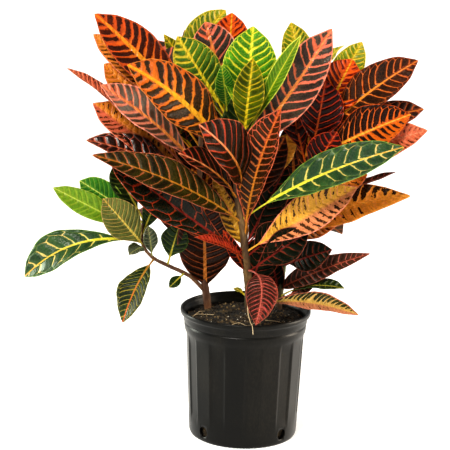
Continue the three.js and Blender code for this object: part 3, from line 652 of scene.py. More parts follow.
def stem_point(path, share):
    """The point at a share of the way through the path's points."""
    last = len(path) - 1
    step = min(int(share * last), last - 1)
    weight = share * last - step
    b, c = path[step], path[step + 1]
    a = path[step - 1] if step > 0 else b * 2 - c
    d = path[step + 2] if step + 2 <= last else c * 2 - b
    ab, bc, cd = (math.sqrt((q - p).length) for p, q in ((a, b), (b, c), (c, d)))
    leave = ((b - a) / ab - (c - a) / (ab + bc) + (c - b) / bc) * bc
    arrive = ((c - b) / bc - (d - b) / (bc + cd) + (d - c) / cd) * bc
    curve = (b - c) * 2 + leave + arrive
    bend = (c - b) * 3 - leave * 2 - arrive
    return b + leave * weight + bend * weight**2 + curve * weight**3


def point_at_height(path, height):
    """The point of a rising path at a height, found by halving the stretch that holds it."""
    low, high = 0.0, 1.0
    for _ in range(HEIGHT_HALVINGS):
        middle = (low + high) / 2
        if stem_point(path, middle).z < height:
            low = middle
        else:
            high = middle
    return stem_point(path, (low + high) / 2)


for stem in (LEFT_STEM, LEFT_BRANCH, CENTRE_STEM, RIGHT_STEM, BACK_STEM):
    stem["path"] = [Vector(point) for point in stem["path"]]
print("centre stem at 400 mm:", point_at_height(CENTRE_STEM["path"], 400))

# %% [markdown]
# ## Leaves on the far side
# Nothing shows what grows at the back, so those leaves follow a rule. Random draws would leave
# bunches and bare spots. A step of the golden ratio never repeats itself, so it spreads directions,
# lengths and tilts evenly, as a real stem does.

# %% The rule for hidden leaves
GOLDEN = 0.618034
FAR_TILT = (-11, 11)  # degrees above or below the slope at that height
FAR_ROLL = (-0.4, 0.4)  # how far the upper side turns to one side
FAR_WIDTH = (0.3, 0.42)  # this one, the bow and the lean are shares of the leaf's length
FAR_BOW = (0.1, 0.2)
FAR_LEAN = (-0.07, 0.07)


def smoothstep(low, high, value):
    """Eases from 0 to 1 while the value goes from low to high."""
    share = min(max((value - low) / (high - low), 0.0), 1.0)
    return share * share * (3 - 2 * share)


def hidden_leaves(path, rule):
    def spread(limits, turn):
        return mix(*limits, math.fmod(rule["start"] + turn * GOLDEN, 1.0))

    leaves = []
    for i in range(rule["count"]):
        height = i / (rule["count"] - 1)
        at = mix(*rule["heights"], height)
        azimuth = math.radians(spread(rule["azimuths"], i + 1))
        length = spread(rule["reach"], 2 * i + 1)
        slope = mix(*rule["slopes"], smoothstep(0, 1, height))
        elevation = math.radians(slope + spread(FAR_TILT, 3 * i + 1))
        outward = Vector((
            math.cos(azimuth) * math.cos(elevation),
            math.sin(azimuth) * math.cos(elevation),
            math.sin(elevation),
        ))
        roll = spread(FAR_ROLL, 5 * i + 2)
        leaves.append(leaf(
            rule["looks"][i % len(rule["looks"])], at,
            point_at_height(path, at) + outward * length,
            width=length * spread(FAR_WIDTH, 4 * i + 3),
            bow=length * spread(FAR_BOW, 7 * i + 4),
            face=(-roll * math.sin(azimuth), roll * math.cos(azimuth), 1),
            lean=length * spread(FAR_LEAN, 6 * i + 5),
        ))
    return leaves


print("far leaves of the back stem:", len(hidden_leaves(BACK_STEM["path"], BACK_STEM["hidden"])))

# %% [markdown]
# ## One leaf
# A croton's blade is stiff: it folds up a little along the midrib, its margins wave, and it swells
# between the side veins. It could be cut from a plane and bent with modifiers, but then the pattern
# wouldn't know where its midrib is. So the blade starts as a grid, and each corner is moved to its
# place: along the bowed midrib, out to the leaf's outline, up the fold, and then by the waves and
# the swelling.

# %% The outline
BLUNT = 0.35  # how much rounder the tip's half is than the stalk's
POINTED = 0.35  # how much of the width is lost on the way to the point
POINT_START = 0.84  # where that begins


def blade_outline(v, widest=WIDEST):
    """The blade's half width at a share of its length, as a share of its greatest half width."""
    v = min(max(v, 0.0), 1.0) ** (math.log(0.5) / math.log(widest))
    point = 1 - POINTED * smoothstep(POINT_START, 1.0, v)
    return point * max(math.sin(math.pi * v), 0.0) ** (1 - BLUNT * v)


quarters = [round(blade_outline(v), 2) for v in (0.25, 0.5, 0.75)]
print("half width at a quarter, half and three quarters:", quarters)

# %% The leaf's measures
CREASE = 0.16  # how round the fold is at the midrib
RAGGED_MARGIN = 0.05  # how far the outline may fall short, as a share of the half width
LEAST_HALF_WIDTH = (1.4, 0.25)  # at the stalk and at the tip
WAVES = 2
WAVE_HEIGHT = 0.045  # this height and the crimps' are shares of the blade's width
WAVE_SHIFT = 2.4  # how far the waves of one leaf are moved on from the last one's
CRIMPS = 6
CRIMP_HEIGHT = 0.01
CRIMP_SHIFT = 1.7
SWELL_HEIGHT = 0.4
SWELL_START = 0.2  # how far from the midrib the swelling has its full height
LEAST_VEINS = 8  # along a blade, however short it is
SWEEP_CURVE = 0.3  # how much more a side vein runs forward near the margin
VEIN_WOBBLE = 0.4  # how uneven the spacing is
VEIN_OFFSET = 0.45  # how far the veins of one side are moved on from the other side's
VEIN_SHIFT = 17  # the same from leaf to leaf
STALK_RADIUS = 1.8
STALK_FOOT = 0.35  # how much thicker the stalk is where it leaves the stem
STALK_FOOT_END = 0.05  # where that has gone, as a share of the leaf's length
RIB_RADIUS = 0.72  # the midrib's radius under the blade, as a share of the stalk's
RIB_START = (-0.1, 0.1)  # the shares of the blade between which the stalk thins to that
RIB_TIP = 0.12  # what is left of that at the tip
RIB_SUNK = 0.08  # the share of the blade by which the midrib has sunk into it
RIB_SHOWN = 0.45  # how far the midrib stands out of the upper side
print("blade measures: stalk radius", STALK_RADIUS, "mm, waves", WAVES, "and crimps", CRIMPS)

# %% The leaf's curves
def off_line(vector, line):
    """What is left of a vector when the part along a line is taken away."""
    return vector - line * (vector.dot(line) / line.length_squared)


class LeafShape:
    """The midrib, the surface and the veins of a leaf, once it is on its stem."""

    def __init__(self, facts, root, number):
        self.facts = facts
        self.root = root
        self.number = number  # shifts this leaf's waves and veins against the other leaves'
        self.chord = facts["tip"] - root
        self.length = self.chord.length
        self.stalk = facts["stalk"] / self.length
        self.blade_length = self.length * (1 - self.stalk)
        self.rise = math.tan(math.radians(facts["fold"]))
        self.face = off_line(facts["face"], self.chord).normalized()
        sideways = self.face.cross(self.chord).normalized()
        self.arch = self.face * facts["bow"] + sideways * facts["lean"]

    def frame(self, t):
        """The midrib's point and the directions out of and across the leaf, t from 0 to 1."""
        centre = self.root + self.chord * t + self.arch * (4 * t * (1 - t))
        along = (self.chord + self.arch * (4 * (1 - 2 * t))).normalized()
        normal = off_line(self.face, along).normalized()
        return centre, normal, normal.cross(along)

    def vein_count(self, u, v):
        """Goes up by one from one side vein to the next, and the two sides take turns."""
        look = KINDS[self.facts["look"]]
        spacing = min(look["spacing"], self.blade_length / LEAST_VEINS)
        half = self.facts["width"] / 2 * blade_outline(v, self.facts["widest"])
        sweep = look["sweep"] * abs(u) + SWEEP_CURVE * abs(u) ** 3
        ahead = v * self.blade_length - half * sweep
        place = Vector((ahead / spacing * 0.6, self.number * 5.1, math.copysign(3, u)))
        uneven = VEIN_WOBBLE * noise.noise(place)
        offset = VEIN_OFFSET if u > 0 else 0.0
        return ahead / spacing + uneven + self.number * VEIN_SHIFT + offset

    def surface(self, u, v):
        """The upper side's point, its direction out of the leaf, and its distance from the midrib."""
        centre, normal, across = self.frame(self.stalk + (1 - self.stalk) * v)
        width = self.facts["width"]
        outline = blade_outline(v, self.facts["widest"])
        # every leaf, and each side of it, has a stretch of noise of its own
        margin = Vector((self.number * 7.3, v * 4, 3 if u > 0 else 0))
        uneven = 1 + RAGGED_MARGIN * noise.noise(margin)
        half = max(width / 2 * outline * min(uneven, 1.0), mix(*LEAST_HALF_WIDTH, v))

        fold = (math.hypot(u, CREASE) - CREASE) / (math.hypot(1, CREASE) - CREASE)
        height = half * self.rise * fold
        side = 1 if u > 0 else -1
        wave = math.sin(2 * math.pi * WAVES * v + self.number * WAVE_SHIFT + side)
        height += width * WAVE_HEIGHT * wave * outline * abs(u) ** 1.5
        crimp = math.sin(2 * math.pi * CRIMPS * v + self.number * CRIMP_SHIFT + 2 * u)
        height += width * CRIMP_HEIGHT * crimp * outline * abs(u) ** 3
        swell = 1 + math.cos(2 * math.pi * self.vein_count(u, v))
        height += SWELL_HEIGHT * swell * outline * (1 - u**4) * smoothstep(0, SWELL_START, abs(u))
        return centre + across * (u * half) + normal * height, normal, u * half

    def rib(self, angle, share):
        """A point around the stalk, which runs on under the blade as its midrib."""
        centre, normal, across = self.frame(share)
        v = (share - self.stalk) / (1 - self.stalk)
        radius = STALK_RADIUS * (1 + STALK_FOOT * smoothstep(STALK_FOOT_END, 0.0, share))
        radius *= mix(1.0, RIB_RADIUS, smoothstep(*RIB_START, v)) * mix(1.0, RIB_TIP, max(v, 0.0))
        if v > 0:
            centre = centre - normal * (radius - RIB_SHOWN * (1 - v)) * smoothstep(0, RIB_SUNK, v)
        return centre + (across * math.cos(angle) + normal * math.sin(angle)) * radius


# %% [markdown]
# ## Tubes
# A stem, a leaf stalk, a root and even the body of soil are tubes: rings of corners around a line,
# with both ends closed. They could be extruded ring by ring, but each of them bends and swells all
# the way. So this helper lays one flat grid, moves every corner to where a rule puts it, welds the
# seam and closes the ends.

# %% Rolling a grid into a tube
WELD_DISTANCE = 1e-4


def tube(bm, sides, rows, place):
    """Adds a closed tube: place(angle, share) gives the point at an angle and a share of its length."""
    others = set(bm.verts)
    for corner in bmesh.ops.create_grid(bm, x_segments=sides, y_segments=rows, size=0.5)["verts"]:
        corner.co = place(2 * math.pi * (corner.co.x + 0.5), corner.co.y + 0.5)
    grid = [vert for vert in bm.verts if vert not in others]
    bmesh.ops.remove_doubles(bm, verts=grid, dist=WELD_DISTANCE)
    own = [vert for vert in bm.verts if vert not in others]
    edges = {edge for vert in own for edge in vert.link_edges}
    bmesh.ops.holes_fill(bm, edges=[edge for edge in edges if edge.is_boundary], sides=0)
    faces = {face for vert in own for face in vert.link_faces}
    bmesh.ops.recalc_face_normals(bm, faces=list(faces))
    return own


sample = bmesh.new()
tube(sample, 8, 4, lambda angle, share: Vector((math.cos(angle), math.sin(angle), share)))
print("faces of a tube with 8 sides and 4 rows:", len(sample.faces))
sample.free()

# %% [markdown]
# ## Finishing a piece
# A shape is only corners and faces until it has an object, materials and a body that it belongs to.
# The corners are scaled here, and not the object. So every object stays at the origin and unturned,
# and a pattern that reads the object's own coordinates stays where it is on the plant.

# %% From a bmesh to a piece
MM = 0.001  # a millimetre in metres


def mesh_of(bm, name):
    """Ends a bmesh and keeps its shape as a mesh."""
    mesh = bpy.data.meshes.new(name)
    bm.to_mesh(mesh)
    bm.free()
    return mesh


def add_object(name, data):
    """Puts an object into the scene: a mesh, a camera or a light."""
    thing = bpy.data.objects.new(name, data)
    bpy.context.collection.objects.link(thing)
    return thing


def finish(bm, name, materials, slot, *replaced):
    """Turns a bmesh in millimetres into a smooth piece that rides on the plant's one body."""
    bmesh.ops.scale(bm, vec=(MM, MM, MM), verts=bm.verts)
    mesh = mesh_of(bm, name)
    mesh.shade_smooth()
    for material in materials:
        mesh.materials.append(material)
    piece = add_object(name, mesh)
    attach(piece, "root")
    if replaced:
        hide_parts(*replaced)
    return piece


# %% [markdown]
# ## From curves to a leaf
# The underside is a copy of the grid, pushed down by the leaf's thickness, and the two are bridged
# all round. A Solidify modifier would do the same, but the copy keeps the pattern's attributes and
# can have its own material at once. The stalk and the midrib are one tapering tube.

# %% The blade and the stalk
THICKNESS = 0.7
COLUMN_WIDTH = 9  # of the grid's faces, across a half
ROW_LENGTH = 3.4
STALK_SIDES = 8
STALK_ROW_LENGTH = 7


def add_blade(bm, shape, place, midrib):
    columns = 2 * max(4, round(shape.facts["width"] / COLUMN_WIDTH))
    rows = max(16, round(shape.blade_length / ROW_LENGTH))
    upper = bmesh.ops.create_grid(bm, x_segments=columns, y_segments=rows, size=1)["verts"]
    normals = {}
    for vert in upper:
        u, v = vert.co.x, (vert.co.y + 1) / 2
        vert.co, normals[vert], vert[midrib] = shape.surface(u, v)
        vert[place] = (u, v, shape.vein_count(u, v))
    under = bmesh.ops.duplicate(bm, geom=bm.verts[:] + bm.edges[:] + bm.faces[:])
    for old, new in under["vert_map"].items():
        if old in normals:
            new.co = old.co - normals[old] * THICKNESS
    for item in under["geom"]:
        if isinstance(item, bmesh.types.BMFace):
            item.material_index = 1
    bmesh.ops.bridge_loops(bm, edges=[edge for edge in bm.edges if edge.is_boundary])
    bmesh.ops.recalc_face_normals(bm, faces=bm.faces)


def add_stalk(bm, shape, place, midrib):
    rows = max(14, round(shape.length / STALK_ROW_LENGTH))
    for vert in tube(bm, STALK_SIDES, rows, shape.rib):
        share = (vert.co - shape.root).dot(shape.chord) / shape.length**2
        vert[place] = (0, (share - shape.stalk) / (1 - shape.stalk), 0)
        vert[midrib] = 0


def make_leaf(name, shape, slot, replaced):
    bm = bmesh.new()
    place = bm.verts.layers.float_vector.new("place")
    midrib = bm.verts.layers.float.new("midrib")
    add_blade(bm, shape, place, midrib)
    add_stalk(bm, shape, place, midrib)
    finish(bm, name, LEAF_MATERIALS[shape.facts["look"]], slot, replaced)


# %% Every leaf of every stem
STEMS = {
    "left": (LEFT_STEM, "left_foliage", "left_leafy_stem"),
    "branch": (LEFT_BRANCH, "left_foliage", "left_leafy_stem"),
    "centre": (CENTRE_STEM, "centre_foliage", "centre_leafy_stem"),
    "right": (RIGHT_STEM, "right_foliage", "right_leafy_stem"),
    "back": (BACK_STEM, "back_foliage", "back_leafy_stem"),
}


def grow_leaves(name, leaves, first, path, slot, node):
    """Makes a list of leaves on a stem, numbered on from the first one's number."""
    for index, facts in enumerate(leaves):
        shape = LeafShape(facts, point_at_height(path, facts["at"]), first + index)
        make_leaf(f"{name}_{index}", shape, slot, node)
    print(name, "pieces:", len(leaves))


for stem_name, (stem, slot, node) in STEMS.items():
    grow_leaves(f"{stem_name}_leaf", stem["leaves"], 0, stem["path"], slot, node)
    if "hidden" in stem:
        far = hidden_leaves(stem["path"], stem["hidden"])
        grow_leaves(f"{stem_name}_far_leaf", far, stem["hidden"]["first"], stem["path"], slot, node)


# %% [markdown]
# ## Surfaces that weather
# Bark, plastic and soil all carry the same kind of marks: soft patches of a second colour and a
# scatter of pale dust. Each could have its own nodes, but one group makes both kinds of mark, and
# each material only gives its own colours and amounts.

# %% The weathering group
WEATHERING_INPUTS = {
    "Base": paint("#303030"), "Patch": paint("#404040"), "Dust": paint("#808070"),
    "Patch Scale": 20.0, "Dust Scale": 300.0, "Dust Amount": 0.3, "Stretch": 1.0,
}
WEATHERING_BUMP = 0.7


def make_weathering():
    outputs = {"Colour": (0.0, 0.0, 0.0, 1.0), "Relief": 0.0}
    group, n, value, out = new_group("weathering", WEATHERING_INPUTS, outputs)
    axes = n.add("ShaderNodeSeparateXYZ")
    n.feed(axes.inputs[0], n.add("ShaderNodeTexCoord").outputs["Object"])
    drawn = n.add("ShaderNodeCombineXYZ")
    n.feed(drawn.inputs[0], axes.outputs[0])
    n.feed(drawn.inputs[1], axes.outputs[1])
    n.feed(drawn.inputs[2], n.sum("MULTIPLY", axes.outputs[2], value["Stretch"]))
    patches = n.noise(drawn.outputs[0], value["Patch Scale"], 6.0)
    grains = n.noise(drawn.outputs[0], value["Dust Scale"], 3.0)
    colour = n.blend(n.ramp(patches, 0.38, 0.66), value["Base"], value["Patch"])
    dusty = n.ramp(n.sum("MULTIPLY", grains, patches), 0.24, 0.4)
    colour = n.blend(n.sum("MULTIPLY", dusty, value["Dust Amount"]), colour, value["Dust"])
    n.feed(out["Colour"], colour)
    n.feed(out["Relief"], n.sum("ADD", n.sum("MULTIPLY", patches, 0.5), grains))
    return group


WEATHERING = make_weathering()
print("weathering:", len(WEATHERING.nodes), "nodes")


def weathered(name, base, patch, dust, roughness, relief, **numbers):
    """A dull material with patches and dust. Relief is the depth of its bumps in metres."""
    material, _, marks, shader = patterned(name, WEATHERING, WEATHERING_BUMP, relief)
    for label, code in (("Base", base), ("Patch", patch), ("Dust", dust)):
        marks.inputs[label].default_value = paint(code)
    for label, number in numbers.items():
        marks.inputs[label.replace("_", " ").title()].default_value = number
    shader.inputs["Roughness"].default_value = roughness
    return material


# %% [markdown]
# ## The stems
# A croton stem is woody below and still green near its tip, and it is ringed by the scars of old
# leaves. The rings could be drawn as bumps only, but they show in the outline. So the stem is a
# tube whose radius swells a little at each scar.

# %% Three kinds of bark
BROWN_BARK = weathered("brown_bark", "#4a2c18", "#6a4426", "#8a7050", 0.7, 0.0012,
                       patch_scale=45.0, stretch=0.35, dust_amount=0.5)
GREY_BARK = weathered("grey_bark", "#3a2612", "#5c4220", "#84683c", 0.75, 0.0014,
                      patch_scale=40.0, stretch=0.3, dust_amount=0.6)
GREEN_BARK = weathered("green_bark", "#3c2814", "#38481c", "#6c5c40", 0.65, 0.001,
                       patch_scale=30.0, stretch=0.3, dust_amount=0.4)
BARKS = {"left": BROWN_BARK, "branch": BROWN_BARK, "centre": GREY_BARK, "right": GREEN_BARK,
         "back": GREEN_BARK}
print("bark of each stem:", {name: bark.name for name, bark in BARKS.items()})

# %% Stems with scars
STEM_SIDES = 18
STEM_ROW_LENGTH = 2.6
SCAR_SPACING = 13
SCAR_WIDTH = 0.012  # spread of one ring, in squared shares of the spacing
SCAR_SWELL = 0.07  # these two are shares of the radius
LUMP_SWELL = 0.1
LUMP_SCALE = 0.06  # lumps per millimetre
TIP_START = 0.975  # where the stem closes towards its bud
BUD_SIZE = 0.25  # what is left of the radius there


def make_stem(name, stem, bark, slot, replaced):
    path, (thick, slim) = stem["path"], stem["radii"]
    length = sum((b - a).length for a, b in zip(path, path[1:]))

    def place(angle, share):
        centre = stem_point(path, share)
        ahead = stem_point(path, min(share + 0.01, 1)) - stem_point(path, max(share - 0.01, 0))
        turn = Vector((0, 0, 1)).rotation_difference(ahead)
        out = Vector((math.cos(angle), math.sin(angle), 0))
        # each ring wanders up and down a little on its way around
        along = share * length / SCAR_SPACING + 0.5 * math.sin(angle + share * 20)
        scar = math.exp(-((along % 1 - 0.5) ** 2) / SCAR_WIDTH)
        lumps = noise.noise(centre * LUMP_SCALE + out)
        radius = mix(thick, slim, share) * (1 + SCAR_SWELL * scar + LUMP_SWELL * lumps)
        radius *= mix(1.0, BUD_SIZE, smoothstep(TIP_START, 1.0, share))
        return centre + turn @ out * radius

    bm = bmesh.new()
    tube(bm, STEM_SIDES, round(length / STEM_ROW_LENGTH), place)
    print(name, "length in millimetres:", round(length))
    finish(bm, name, [bark], slot, replaced)


for stem_name, (stem, slot, node) in STEMS.items():
    make_stem(f"{stem_name}_stem", stem, BARKS[stem_name], slot, node)


# %% [markdown]
# ## The nursery pot
# The pot is blown black plastic with a plain lip, a groove, and broad upright ribs. It could be
# built from a cylinder with loop cuts, but a pot is turned. So half of its cut is drawn as a line
# of points, from the middle of the underside up the outside, over the lip and down the inside, and
# spun once round. The wall is then pressed in at every second rib, which gives the soft-edged
# panels that a mould leaves.

# %% The pot's profile, as radius and height
FOOT = [(0.01, 1.6), (60, 1.6), (84, 1.4), (87, 0), (93, 0), (95.6, 1.2), (96.9, 3.6)]
RIBBED_WALL = [
    (97.7, 7), (98.1, 14), (98.6, 24), (99.1, 34), (99.5, 44), (101.5, 88), (103.5, 132),
    (105.4, 174), (106, 186),
]
SHOULDER = [(106.6, 190), (108.6, 194), (109.4, 198), (110.0, 204)]
GROOVE = [(109.8, 206.6), (108.9, 207.4), (108.9, 208.6), (110.1, 209.6)]
BAND = [(111, 211), (111.6, 216), (112.2, 220.5), (113.4, 222.6)]
LIP = [
    (116.4, 224.2), (117.1, 226), (117.4, 229), (117.2, 231.6), (116.2, 232.8), (114.9, 233),
    (113.8, 232), (113.4, 229), (112.6, 224),
]
INSIDE = [
    (109.2, 221), (108, 216), (106.4, 200), (102.4, 188), (98, 100), (94.4, 9), (90, 3),
    (60, 2.6), (0.01, 2.6),
]
POT_PROFILE = FOOT + RIBBED_WALL + SHOULDER + GROOVE + BAND + LIP + INSIDE
pot_low, pot_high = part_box("nursery_pot")
print("drawn height in millimetres:", max(height for _, height in POT_PROFILE))
print("measured height in metres:", pot_high[2] - pot_low[2])

# %% The ribs
FLUTES = 20
FLUTE_DEPTH = 1.8
FLUTE_EDGE = (0.2, 2.6)  # degrees from a rib's side where its slope begins and ends
FLUTE_FOOT = (32, 44)  # heights between which the ribs fade in
FLUTE_TOP = (189, 180)  # heights between which they fade out
OUTER_WALL = 90  # only what lies further out than this is pressed


def flute_press(x, y, z):
    """How far the wall moves in at a point: each rib is flat, and every second one is sunk."""
    pitch = 360 / FLUTES
    start, end = FLUTE_EDGE
    turn = math.degrees(math.atan2(x, -y)) % (2 * pitch)
    panel = smoothstep(start, end, turn) * smoothstep(pitch - start, pitch - end, turn)
    off_middle = math.radians(turn % pitch - pitch / 2)
    flat = math.hypot(x, y) * (1 - math.cos(math.radians(pitch / 2)) / math.cos(off_middle))
    ends = smoothstep(*FLUTE_FOOT, z) * smoothstep(*FLUTE_TOP, z)
    return (FLUTE_DEPTH * panel + flat) * ends


print(f"press in the middle of a sunk rib: {flute_press(15.6, -98.8, 100):.1f} mm")

# %% The turned and pressed pot
SPIN_STEPS = 360
WALL_RADIUS = 96  # the wall starts further out than this
LONG_STRETCH = (30, 60)  # lengths of the stretches of wall that get more rows
EXTRA_ROWS = 3
SEAM_WELD = 0.02  # closes the pole in the middle of each bottom


def make_pot():
    bm = bmesh.new()
    line = [bm.verts.new((radius, 0, height)) for radius, height in POT_PROFILE]
    edges = [bm.edges.new(pair) for pair in zip(line, line[1:])]
    shortest, longest = LONG_STRETCH
    bmesh.ops.subdivide_edges(
        bm, cuts=EXTRA_ROWS,
        edges=[edge for edge in edges
               if shortest < edge.calc_length() < longest and edge.verts[0].co.x > WALL_RADIUS])
    bmesh.ops.spin(
        bm, geom=bm.verts[:] + bm.edges[:], cent=(0, 0, 0), axis=(0, 0, 1), dvec=(0, 0, 0),
        angle=2 * math.pi, steps=SPIN_STEPS, use_merge=True, use_duplicate=False)
    bmesh.ops.remove_doubles(bm, verts=bm.verts, dist=SEAM_WELD)
    bmesh.ops.recalc_face_normals(bm, faces=bm.faces)
    for vert in bm.verts:
        radius = math.hypot(vert.co.x, vert.co.y)
        if radius > OUTER_WALL:
            press = flute_press(*vert.co)
            vert.co.x -= press * vert.co.x / radius
            vert.co.y -= press * vert.co.y / radius
    return bm


POT_SHINE = 0.16
POT_PLASTIC = weathered("black_plastic", "#070706", "#0f0e0b", "#322e26", 0.34, 0.00012,
                        patch_scale=14.0, dust_scale=420.0, dust_amount=0.15, stretch=0.4)
POT_PLASTIC.node_tree.nodes["Principled BSDF"].inputs["Specular IOR Level"].default_value = POT_SHINE
pot = finish(make_pot(), "fluted_pot", [POT_PLASTIC], "pot_plastic", "nursery_pot")
print("pot faces before the holes:", len(pot.data.polygons))

# %% [markdown]
# ## Drain holes
# Four round holes low in the wall let water out. They could be drawn into the grid of the wall, but
# a hole that is cut with a Boolean gets the wall's true thickness and a sharp rim, as a drilled one
# has.

# %% Cutting the drain holes
DRAIN_RADIUS = 9.5
DRAIN_HEIGHT = 20
DRAIN_DEPTH = 30  # length of the cutter, across the wall
DRAIN_PLACE = 99  # the wall's radius there
DRAIN_SIDES = 40
DRAIN_TURNS = (45, 135, 225, 315)


def drain_cutter(turn):
    bm = bmesh.new()
    bmesh.ops.create_cone(bm, cap_ends=True, segments=DRAIN_SIDES, radius1=DRAIN_RADIUS,
                          radius2=DRAIN_RADIUS, depth=DRAIN_DEPTH)
    bmesh.ops.rotate(bm, verts=bm.verts, matrix=Matrix.Rotation(math.pi / 2, 3, "X"))
    bmesh.ops.translate(bm, verts=bm.verts, vec=(0, -DRAIN_PLACE, DRAIN_HEIGHT))
    bmesh.ops.rotate(bm, verts=bm.verts, matrix=Matrix.Rotation(math.radians(turn), 3, "Z"))
    bmesh.ops.scale(bm, verts=bm.verts, vec=(MM, MM, MM))
    return add_object("drain", mesh_of(bm, "drain"))


def cut_holes(piece, cutters):
    """Cuts holes with a Boolean modifier each, applies them and takes the cutters away."""
    for cutter in cutters:
        modifier = piece.modifiers.new("hole", "BOOLEAN")
        modifier.object = cutter
        modifier.solver = "EXACT"
    bpy.context.view_layer.update()
    shaped = piece.evaluated_get(bpy.context.evaluated_depsgraph_get())
    mesh = bpy.data.meshes.new_from_object(shaped)
    piece.modifiers.clear()
    piece.data = mesh
    for cutter in cutters:
        bpy.data.objects.remove(cutter)


cut_holes(pot, [drain_cutter(turn) for turn in DRAIN_TURNS])
print("pot faces:", len(pot.data.polygons))

# %% [markdown]
# ## The soil
# Potting soil is dark crumbs with bits of bark and white grit. Filling the pot with crumbs would be
# slow and nobody would see them. So the bulk is one lumpy body, a tube that rises inside the wall
# and closes over the top, and the loose crumbs lie on it.

# %% The soil's body
SOIL_TOP = 214
SOIL_DIP = 1.5  # how far the crumbly body lies below that, to leave room for loose crumbs
SOIL_RADIUS = 106
SOIL_MOUND = 6  # how much higher the middle is
MOUND_RADIUS = 111
RIPPLE = 1.5
LUMPS = ((2.6, 0, 0.09), (2.2, 9, 0.28))  # height, layer of noise and lumps per millimetre
SOIL_COLUMNS, SOIL_ROWS = 150, 130
SOIL_CUT = [(0.0, 3, 3.4), (0.3, 89, 3.4), (0.62, 103, 190)]  # share of the rows, radius, height


def soil_height(x, y):
    mound = SOIL_MOUND * (1 - (math.hypot(x, y) / MOUND_RADIUS) ** 2)
    ripple = RIPPLE * math.sin(x / 17 + 1) * math.cos(y / 14)
    lumps = sum(high * noise.noise(Vector((x, y, layer)) * scale) for high, layer, scale in LUMPS)
    return SOIL_TOP + mound + ripple + lumps - SOIL_DIP


def soil_body(angle, share):
    """Out along the bottom, up the wall, and back to the middle over the top."""
    (_, middle, _), (bottom_end, bottom, floor_height), (wall_end, top, edge) = SOIL_CUT
    if share >= wall_end:
        radius = SOIL_RADIUS * (1 - (share - wall_end) / (1 - wall_end))
        x, y = radius * math.cos(angle), radius * math.sin(angle)
        return Vector((x, y, soil_height(x, y)))
    if share < bottom_end:
        radius, height = mix(middle, bottom, share / bottom_end), floor_height
    else:
        rise = (share - bottom_end) / (wall_end - bottom_end)
        radius, height = mix(bottom, top, rise), mix(floor_height, edge, rise)
    return Vector((radius * math.cos(angle), radius * math.sin(angle), height))


# The soil's near-black base and patch are partly its real colour and partly painted shade: they are
# darker than the mix itself, for the shade that the leaves cast on it.
SOIL_AND_SHADE = weathered("soil", "#0a0804", "#21180c", "#7c6844", 0.95, 0.003,
                 patch_scale=70.0, dust_scale=520.0, dust_amount=0.35)
soil_mesh = bmesh.new()
tube(soil_mesh, SOIL_COLUMNS, SOIL_ROWS, soil_body)
finish(soil_mesh, "soil_body", [SOIL_AND_SHADE], "soil", "potting_soil")
print("soil in the middle, in millimetres:", soil_height(0, 0))

# %% [markdown]
# ## Loose crumbs
# On top of the mix lie loose bits of peat, bark and white grit, none like the next. A particle
# system could scatter them, but several hundred small balls, each squashed and turned by a seeded
# draw, come out the same every time and make one piece.

# %% Loose crumbs, bark and grit
CRUMBS = [
    # the dark crumbs are partly painted shade: darker than the crumbs themselves, for the leaves' shade
    # on the soil
    weathered("dark_crumb", "#120d06", "#241a0e", "#4c3e2a", 0.95, 0.001),
    weathered("bark_crumb", "#443520", "#6c5838", "#a09068", 0.9, 0.001),
    weathered("white_grit", "#b8b0a0", "#d0c8b8", "#e0dace", 0.9, 0.0005),
]
CRUMB_SHARES = (14, 5, 2)  # dark, bark, grit
CRUMB_SIZES = (0.9, 3.9)
GRIT = 2
GRIT_SIZE = 0.5  # grit is this much smaller
CRUMB_FIELD = 104  # radius of the circle that they lie in
CRUMB_LIFT = 0.2  # height of a crumb's middle over the soil, as a share of its size


def make_crumbs(count, seed):
    draw = random.Random(seed)
    bm = bmesh.new()
    for _ in range(count):
        angle = draw.uniform(0, 2 * math.pi)
        radius = CRUMB_FIELD * math.sqrt(draw.random())
        x, y = radius * math.cos(angle), radius * math.sin(angle)
        look = draw.choices((0, 1, GRIT), weights=CRUMB_SHARES)[0]
        size = draw.uniform(*CRUMB_SIZES) * (GRIT_SIZE if look == GRIT else 1)
        spin = Matrix.Rotation(draw.uniform(0, 6), 4, Vector((draw.random(), draw.random(), 0.4)))
        # a crumb is longer than it is wide, and mostly flatter still
        squash = (size, size * draw.uniform(0.5, 1), size * draw.uniform(0.3, 0.8), 1)
        move = Matrix.Translation((x, y, soil_height(x, y) + CRUMB_LIFT * size))
        corners = bmesh.ops.create_icosphere(
            bm, subdivisions=1, radius=1, matrix=move @ spin @ Matrix.Diagonal(squash))
        for face in {face for vert in corners["verts"] for face in vert.link_faces}:
            face.material_index = look
    return bm


crumbs = finish(make_crumbs(count=760, seed=4), "soil_crumbs", CRUMBS, "soil")
print("faces of the crumbs:", len(crumbs.data.polygons))

# %% [markdown]
# ## Rootlets
# A few thin pale roots lie on the soil, and one dry fibre hangs over the lip in front. They could be
# curves with a bevel. The stem's own curve and the tube do the same here, and their ends are closed.

# %% Thin threads
ROOT = weathered("pale_root", "#a08a68", "#c0ac88", "#d8c8a8", 0.8, 0.0004)
ROOT_ROUTES = [
    [(-98, -20), (-88, -4), (-70, 2), (-56, -8)],
    [(-94, -8), (-84, 14), (-72, 26)],
    [(-30, -70), (-12, -58), (4, -66), (20, -52)],
    [(36, -30), (52, -44), (70, -40)],
]
ROOT_LIFTS = (1.2, 3.2)  # heights above the soil, in turns
ROOT_RADII = (0.8, 0.4)  # thick end and thin end
FIBRE_ROUTE = [(4, -12, 262), (4, -60, 243), (9, -108, 236.5), (12, -119, 233.5), (14, -120.5, 219)]
FIBRE_RADII = (1.0, 0.6)
X, Y, Z = (Vector(axis) for axis in ((1, 0, 0), (0, 1, 0), (0, 0, 1)))


def thread(bm, route, first, second, radii, sides, rows):
    """A thin tube along a route, whose rings lie in the plane of two directions."""
    path = [Vector(point) for point in route]

    def place(angle, share):
        ring = first * math.cos(angle) + second * math.sin(angle)
        return stem_point(path, share) + ring * mix(*radii, share)

    tube(bm, sides, rows, place)


